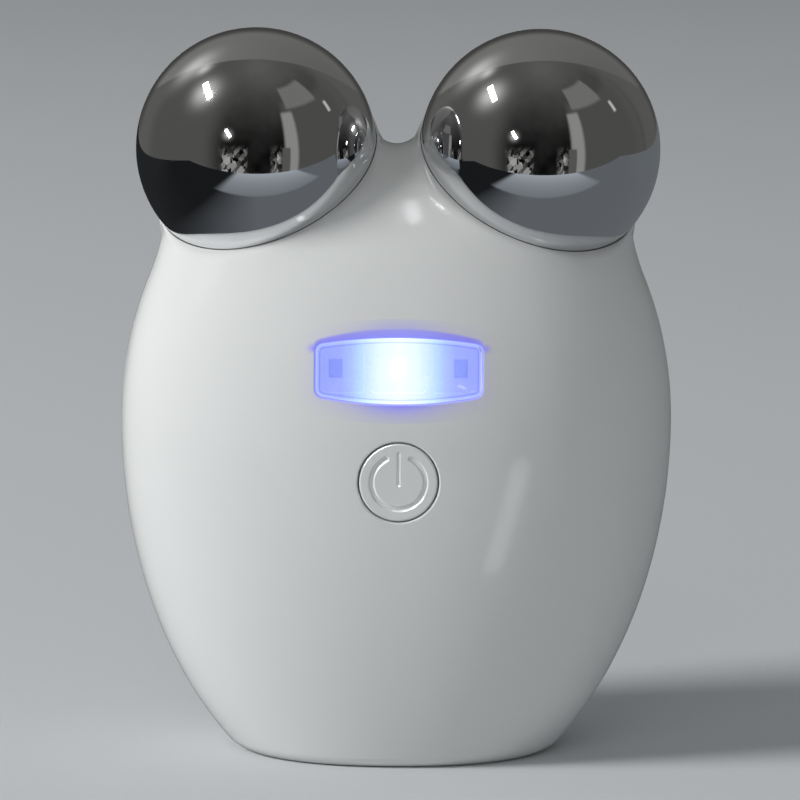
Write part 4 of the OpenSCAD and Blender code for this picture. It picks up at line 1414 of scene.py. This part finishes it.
for piece, slot, body, node in (
        (shells[-1], "white_body", "housing", "front_shell"),
        (shells[1], "white_body", "housing", "rear_shell"),
        (buttonCap, "white_button", "button", "power_button"),
        (lens, "clear_window", "housing", "status_window"),
        (plugs, "soft_plug", "housing", "screw_plugs"),
        (balls["left"], "chrome_ball", "housing", "left_electrode"),
        (balls["right"], "chrome_ball", "housing", "right_electrode"),
        (tray, "dark_plastic", "housing", "light_shroud")):
    dress(piece, slot, body, node)
tray.data.materials[0] = trayGlow()

# CAD pieces that keep their shape get their finish by the record's slot
slotOf = {entry["node"]: entry["material_slot"] for entry in frame["record"]["subparts"]}
for node, piece in nodes.items():
    slot = slotOf.get(node)
    if slot in finishes:
        piece.data.materials.clear()
        piece.data.materials.append(finishes[slot])
    else:
        print("no finish for", node, slot)


# stage: pale floor, soft lamps, and the dim room that only the gloss shows
stageForm = {
    "floorTone": (0.66, 0.675, 0.69), "roomRadius": 2.6, "roomLow": -0.98, "eyeLevel": 0.07,
    "worldTone": (0.95, 0.98, 1.0), "worldLevel": 0.235, "seenLevel": 0.8,
    "lampAim": (0, 0, 0.04),
}
# power, place and size of the lamps that light the object
roomLamps = {"keyLamp": (29.0, (-1.6, -0.5, 1.0), 0.6), "fillLamp": (3.0, (-0.5, -1.6, 1.1), 1.2)}
# soft panels of the dim room: turn and rise of the middle in degrees, half sizes, softness, level
roomPanels = [
    (-95, 0, 55, 75, 30, 0.085), (-152, 0, 30, 60, 20, 0.11), (72, 0, 42, 48, 8, 0.078),
    (58, 52, 22, 10, 4, 0.17), (150, 0, 40, 60, 30, 0.1), (34.5, 6, 6.5, 33, 4, 0.27),
    (29, -6, 4, 13, 2, 0.1), (88, 33, 2, 4, 2, 0.5),
]
# soft blooms round the high lamp and along the backdrop's edge: turn, rise, sharpness, level
roomBlooms = [(-76, 48, -60.0, 0.55), (-129, 44, -60.0, 0.4), (-116, 53, -300.0, 0.4),
              (-28, 18.5, -500.0, 0.5)]
# small things in the far room, and the plain gap among them: middle, half size, softness
clutter = {"turn": (-5.0, 29.0, 5), "rise": (-8.0, 13.0, 12), "gapTurn": (3, 12, 5),
           "gapRise": (0, 19, 8), "cell": 3.2, "level": 0.4, "bend": 14.0}
# slim lamps that only some pieces mirror: ends as turn and rise, how far, width, level
slimLamps = {
    "highLamp": ((-89, 51.5), (-64, 44.8), 2.2, 0.17, 12.0, balls.values()),
    "farLamp": ((-30.6, 21.6), (-25.3, 15.3), 2.3, 0.11, 11.0, balls.values()),
    "grooveLamp": ((-80, 42), (-22, 25), 0.8, 0.75, 30.0, [buttonCap]),
    "funnelLamp": ((4.6, 56), (6.4, 68), 1.0, 0.006, 48.0, [shells[-1]]),
}

# a pale strip in front that only the body mirrors
lowStrip = {"first": (0.032, -0.070, 0.0012), "last": (0.128, -0.222, 0.0012),
            "widths": (0.008, 0.026), "strength": 1.7}
# the dim table: x and y edges and height; where it darkens, and its pale far edge
tableForm = {"edges": (-0.5, 1.2, -0.222, 2.2, 0.0008), "tone": (0.86, 0.93, 1.0),
             "near": (-0.09, -0.015, 0.012, 0.14), "farAlong": (0.19, 0.098, 0.008),
             "farAcross": (0.035, 0.125, 0.03), "farLevel": (0.09, 0.22, 0.2, 0.42),
             "beyond": (-0.03, 0.1, 0.0, 1.0), "beyondLevel": (-0.06, 0.03, 0.02, 0.15)}
# the room's wall: its fall-off, its clouds, and the backdrop behind and overhead
wallForm = {"tone": (1.0, 0.985, 0.94), "fall": (8.0, 85.0, 0.0, 1.0), "fallPower": 1.3,
            "fallLevel": 0.1, "cloud": (0.3, 0.7, 0.002, 0.014), "lean": 0.9,
            "backdrop": (2.0, 0.955, 0.03), "backdropLevel": (-0.7, 0.7, 0.2, 0.12),
            "shadeAlong": (1.0, 0.12, 0.16), "shadeUp": (0.4, 0.4, 0.1), "shadeLevel": 0.055}


def stagePiece(name, verts, faces, material):
    piece = newObject(name, bpy.data.meshes.new(name))
    piece.data.from_pydata(verts, [], faces)
    piece.data.materials.append(material)
    return piece


def glossPiece(name, verts, faces, material, mirroredBy=None):
    # light linking: the piece shows in the gloss, of these pieces alone if they are given
    piece = stagePiece(name, verts, faces, material)
    for kind in ("camera", "diffuse", "transmission", "volume_scatter", "shadow"):
        setattr(piece, "visible_" + kind, False)
    if mirroredBy:
        seen = bpy.data.collections.new(name + "Seen")
        for mirror in mirroredBy:
            seen.objects.link(mirror)
        piece.light_linking.receiver_collection = seen
    return piece


def flatBox(x1, x2, y1, y2, z):
    return [(x1, y1, z), (x2, y1, z), (x2, y2, z), (x1, y2, z)], [(0, 1, 2, 3)]


def towards(turn, up, far, level=stageForm["eyeLevel"]):
    turn, up = math.radians(turn), math.radians(up)
    return Vector((far * math.sin(turn) * math.cos(up), -far * math.cos(turn) * math.cos(up),
                   far * math.sin(up) + level))


def strip(name, first, last, firstWidth, lastWidth, facing, strength, mirroredBy):
    across = (last - first).cross(facing).normalized() / 2
    verts = [first - across * firstWidth, last - across * lastWidth,
             last + across * lastWidth, first + across * firstWidth]
    glow = Glow(name + "Light")
    glow.end(strength, (1, 1, 1), clear=True)
    glossPiece(name, verts, [(0, 1, 2, 3)], glow.material, mirroredBy)


def domeMesh(radius, low, columns=64, rows=40):
    verts, faces = [], []
    for j in range(rows + 1):
        up = math.asin(low) + (math.pi / 2 - math.asin(low)) * j / rows
        for i in range(columns):
            turn = 2 * math.pi * i / columns
            verts.append(tuple(radius * c for c in (
                math.cos(up) * math.cos(turn), math.cos(up) * math.sin(turn), math.sin(up))))
    for j in range(rows):
        for i in range(columns):
            k = (i + 1) % columns
            faces.append((j * columns + i, (j + 1) * columns + i,
                          (j + 1) * columns + k, j * columns + k))
    return verts, faces


def makeStage():
    f = stageForm
    top = Finish("floorTop", {"Roughness": 0.55, "Specular IOR Level": 0.0})
    patchy = top.ramp(top.noise(top.place, 900.0, 3.0), 0.3, 0.7, 0.0, 1.0)
    top.to({"Base Color": top.mix(patchy, f["floorTone"], [c * 0.985 for c in f["floorTone"]])})
    floor = stagePiece("floor", *flatBox(-6, 6, -4, 8, 0), top.material)
    floor.visible_glossy = False
    glossPiece("dimRoom", *domeMesh(f["roomRadius"], f["roomLow"]), roomPaint())
    glossPiece("dimTable", *flatBox(*tableForm["edges"]), tablePaint())
    for name, (first, last, far, width, strength, mirroredBy) in slimLamps.items():
        a, b = towards(*first, far), towards(*last, far)
        # the lamps in the balls face the object's middle, the others the floor under it
        eye = f["eyeLevel"] if len(mirroredBy) > 1 else 0
        facing = (a - Vector((0, 0, eye))).normalized()
        strip(name, a, b, width, width, facing, strength, mirroredBy)
    s = lowStrip
    strip("lowStrip", Vector(s["first"]), Vector(s["last"]), *s["widths"], Vector((0, 0, 1)),
          s["strength"], [shells[-1]])


class Glow(Paint):
    # a material that only shines
    def end(self, level, tone, clear=False):
        shine = self.get("ShaderNodeEmission", {"Color": tone, "Strength": level})
        if clear:  # everything behind shows through
            shine = self.get("ShaderNodeAddShader", {
                0: shine, 1: self.get("ShaderNodeBsdfTransparent")})
        self.put(self.tree.nodes["Material Output"].inputs[0], shine)
        return self.material


def roomPaint():
    g = Glow("dimRoomPaint")
    ray = g.get("ShaderNodeVectorMath", {0: g.place}, operation="NORMALIZE")
    x, y, z = g.axes(ray)
    turn = g.sum("ARCTAN2", x, y * -1.0) * (180 / math.pi)
    up = g.sum("ARCSINE", z) * (180 / math.pi)
    # the middle of the front wall falls off into the dark
    w = wallForm
    level = (g.ramp(up, *w["fall"]) ** w["fallPower"] * w["fallLevel"]
             + g.ramp(g.noise(g.place, 1.3, 3.0), *w["cloud"]))
    for middle, rise, halfWide, halfHigh, soft, tone in roomPanels:
        cover = g.softBox(turn, middle, halfWide, soft) * g.softBox(up, rise, halfHigh, soft)
        level = g.blend(cover, level, tone)
    # things in the far room: small upright patches of every tone
    c = clutter
    bend = g.noise(g.place, 2.6, 3.0) * c["bend"]
    spot = g.get("ShaderNodeCombineXYZ", {0: (turn + bend) / c["cell"],
                                          1: (up + bend) / (c["cell"] * 1.7)})
    cells = g.get("ShaderNodeTexVoronoi", {"Vector": spot, "Scale": 1.0, "Randomness": 1.0},
                  "Color")
    patch = g.get("ShaderNodeSeparateColor", {0: cells}) ** 2.6 * c["level"]
    cover = g.softBox(turn, *c["turn"]) * g.softBox(up, *c["rise"])
    gap = g.softBox(turn, *c["gapTurn"]) * g.softBox(up, *c["gapRise"])
    level = g.blend(cover * (1.0 - gap), level, patch)
    behind = g.softBox(y + z * w["lean"], *w["backdrop"])
    level = g.blend(behind, level, g.ramp(x, *w["backdropLevel"]))
    shade = g.softBox(y, *w["shadeAlong"]) * g.softBox(z, *w["shadeUp"])
    level = g.blend(shade, level, w["shadeLevel"])
    for turned, risen, sharp, strength in roomBlooms:
        bloom = g.get("ShaderNodeVectorMath", {0: ray, 1: towards(turned, risen, 1.0, 0)},
                      "Value", operation="DOT_PRODUCT")
        level = level + euler ** ((1.0 - bloom) * sharp) * strength
    return g.end(level, w["tone"])


def tablePaint():
    # darker round the object, a pale far edge, dim beyond
    g, t = Glow("dimTablePaint"), tableForm
    x, y, _ = g.axes(g.place)
    front = y * -1.0
    edge = g.softBox(front, *t["farAlong"]) * g.softBox(x, *t["farAcross"])
    level = g.blend(edge, g.ramp(x, *t["near"]), g.ramp(front, *t["farLevel"]))
    level = g.blend(g.ramp(y, *t["beyond"]), level, g.ramp(x, *t["beyondLevel"]))
    return g.end(level, t["tone"])


def makeLights():
    f = stageForm
    for name, (power, place, size) in roomLamps.items():
        lamp = bpy.data.lights.new(name, "AREA")
        lamp.energy = power
        lamp.shape = "DISK"
        lamp.size = size
        holder = newObject(name, lamp)
        holder.location = place
        facing = Vector(f["lampAim"]) - Vector(place)
        holder.rotation_euler = facing.to_track_quat("-Z", "Y").to_euler()
        holder.visible_glossy = False
    world = bpy.data.worlds.new("softRoom")
    world.use_nodes = True
    sky = Tree(world.node_tree)
    path = sky.node("ShaderNodeLightPath")
    camera, glossy, clear = (Wire(sky, path.outputs["Is %s Ray" % kind])
                             for kind in ("Camera", "Glossy", "Transmission"))
    seen = sky.sum("MAXIMUM", camera, sky.sum("MAXIMUM", glossy, clear))
    shine = world.node_tree.nodes["Background"]
    sky.put(shine.inputs[0], f["worldTone"])
    sky.put(shine.inputs[1], sky.ramp(seen, 0.0, 1.0, f["worldLevel"], f["seenLevel"]))
    bpy.context.scene.world = world


cameraForm = {"turn": -0.9, "rise": 9.0, "roll": 0.4, "middle": (0, 0, 0.043), "away": 0.55,
              "shiftRight": 0.000424, "shiftUp": -0.001861, "sensor": 36, "lens": 210.1275,
              "clip": (0.02, 30)}


def makeCamera():
    f = cameraForm
    turn, up, roll = (math.radians(f[key]) for key in ("turn", "rise", "roll"))
    view = Vector((-math.sin(turn) * math.cos(up), math.cos(turn) * math.cos(up), -math.sin(up)))
    right = view.cross(Vector((0, 0, 1))).normalized()
    above = right.cross(view)
    rightRolled = right * math.cos(roll) + above * math.sin(roll)
    aboveRolled = above * math.cos(roll) - right * math.sin(roll)
    middle = Vector(f["middle"])
    spot = middle - view * f["away"]
    aim = middle + rightRolled * f["shiftRight"] + aboveRolled * f["shiftUp"]
    forward = (aim - spot).normalized()
    side = forward.cross(aboveRolled).normalized()
    basis = Matrix((side, side.cross(forward), -forward)).transposed().to_4x4()
    basis.translation = spot
    camera = bpy.data.cameras.new("camera")
    camera.sensor_width = f["sensor"]
    camera.lens = f["lens"]
    camera.clip_start, camera.clip_end = f["clip"]
    holder = newObject("camera", camera)
    holder.matrix_world = basis
    bpy.context.scene.camera = holder


makeStage()
makeLights()
makeCamera()
bpy.context.scene.view_settings.view_transform = "Standard"
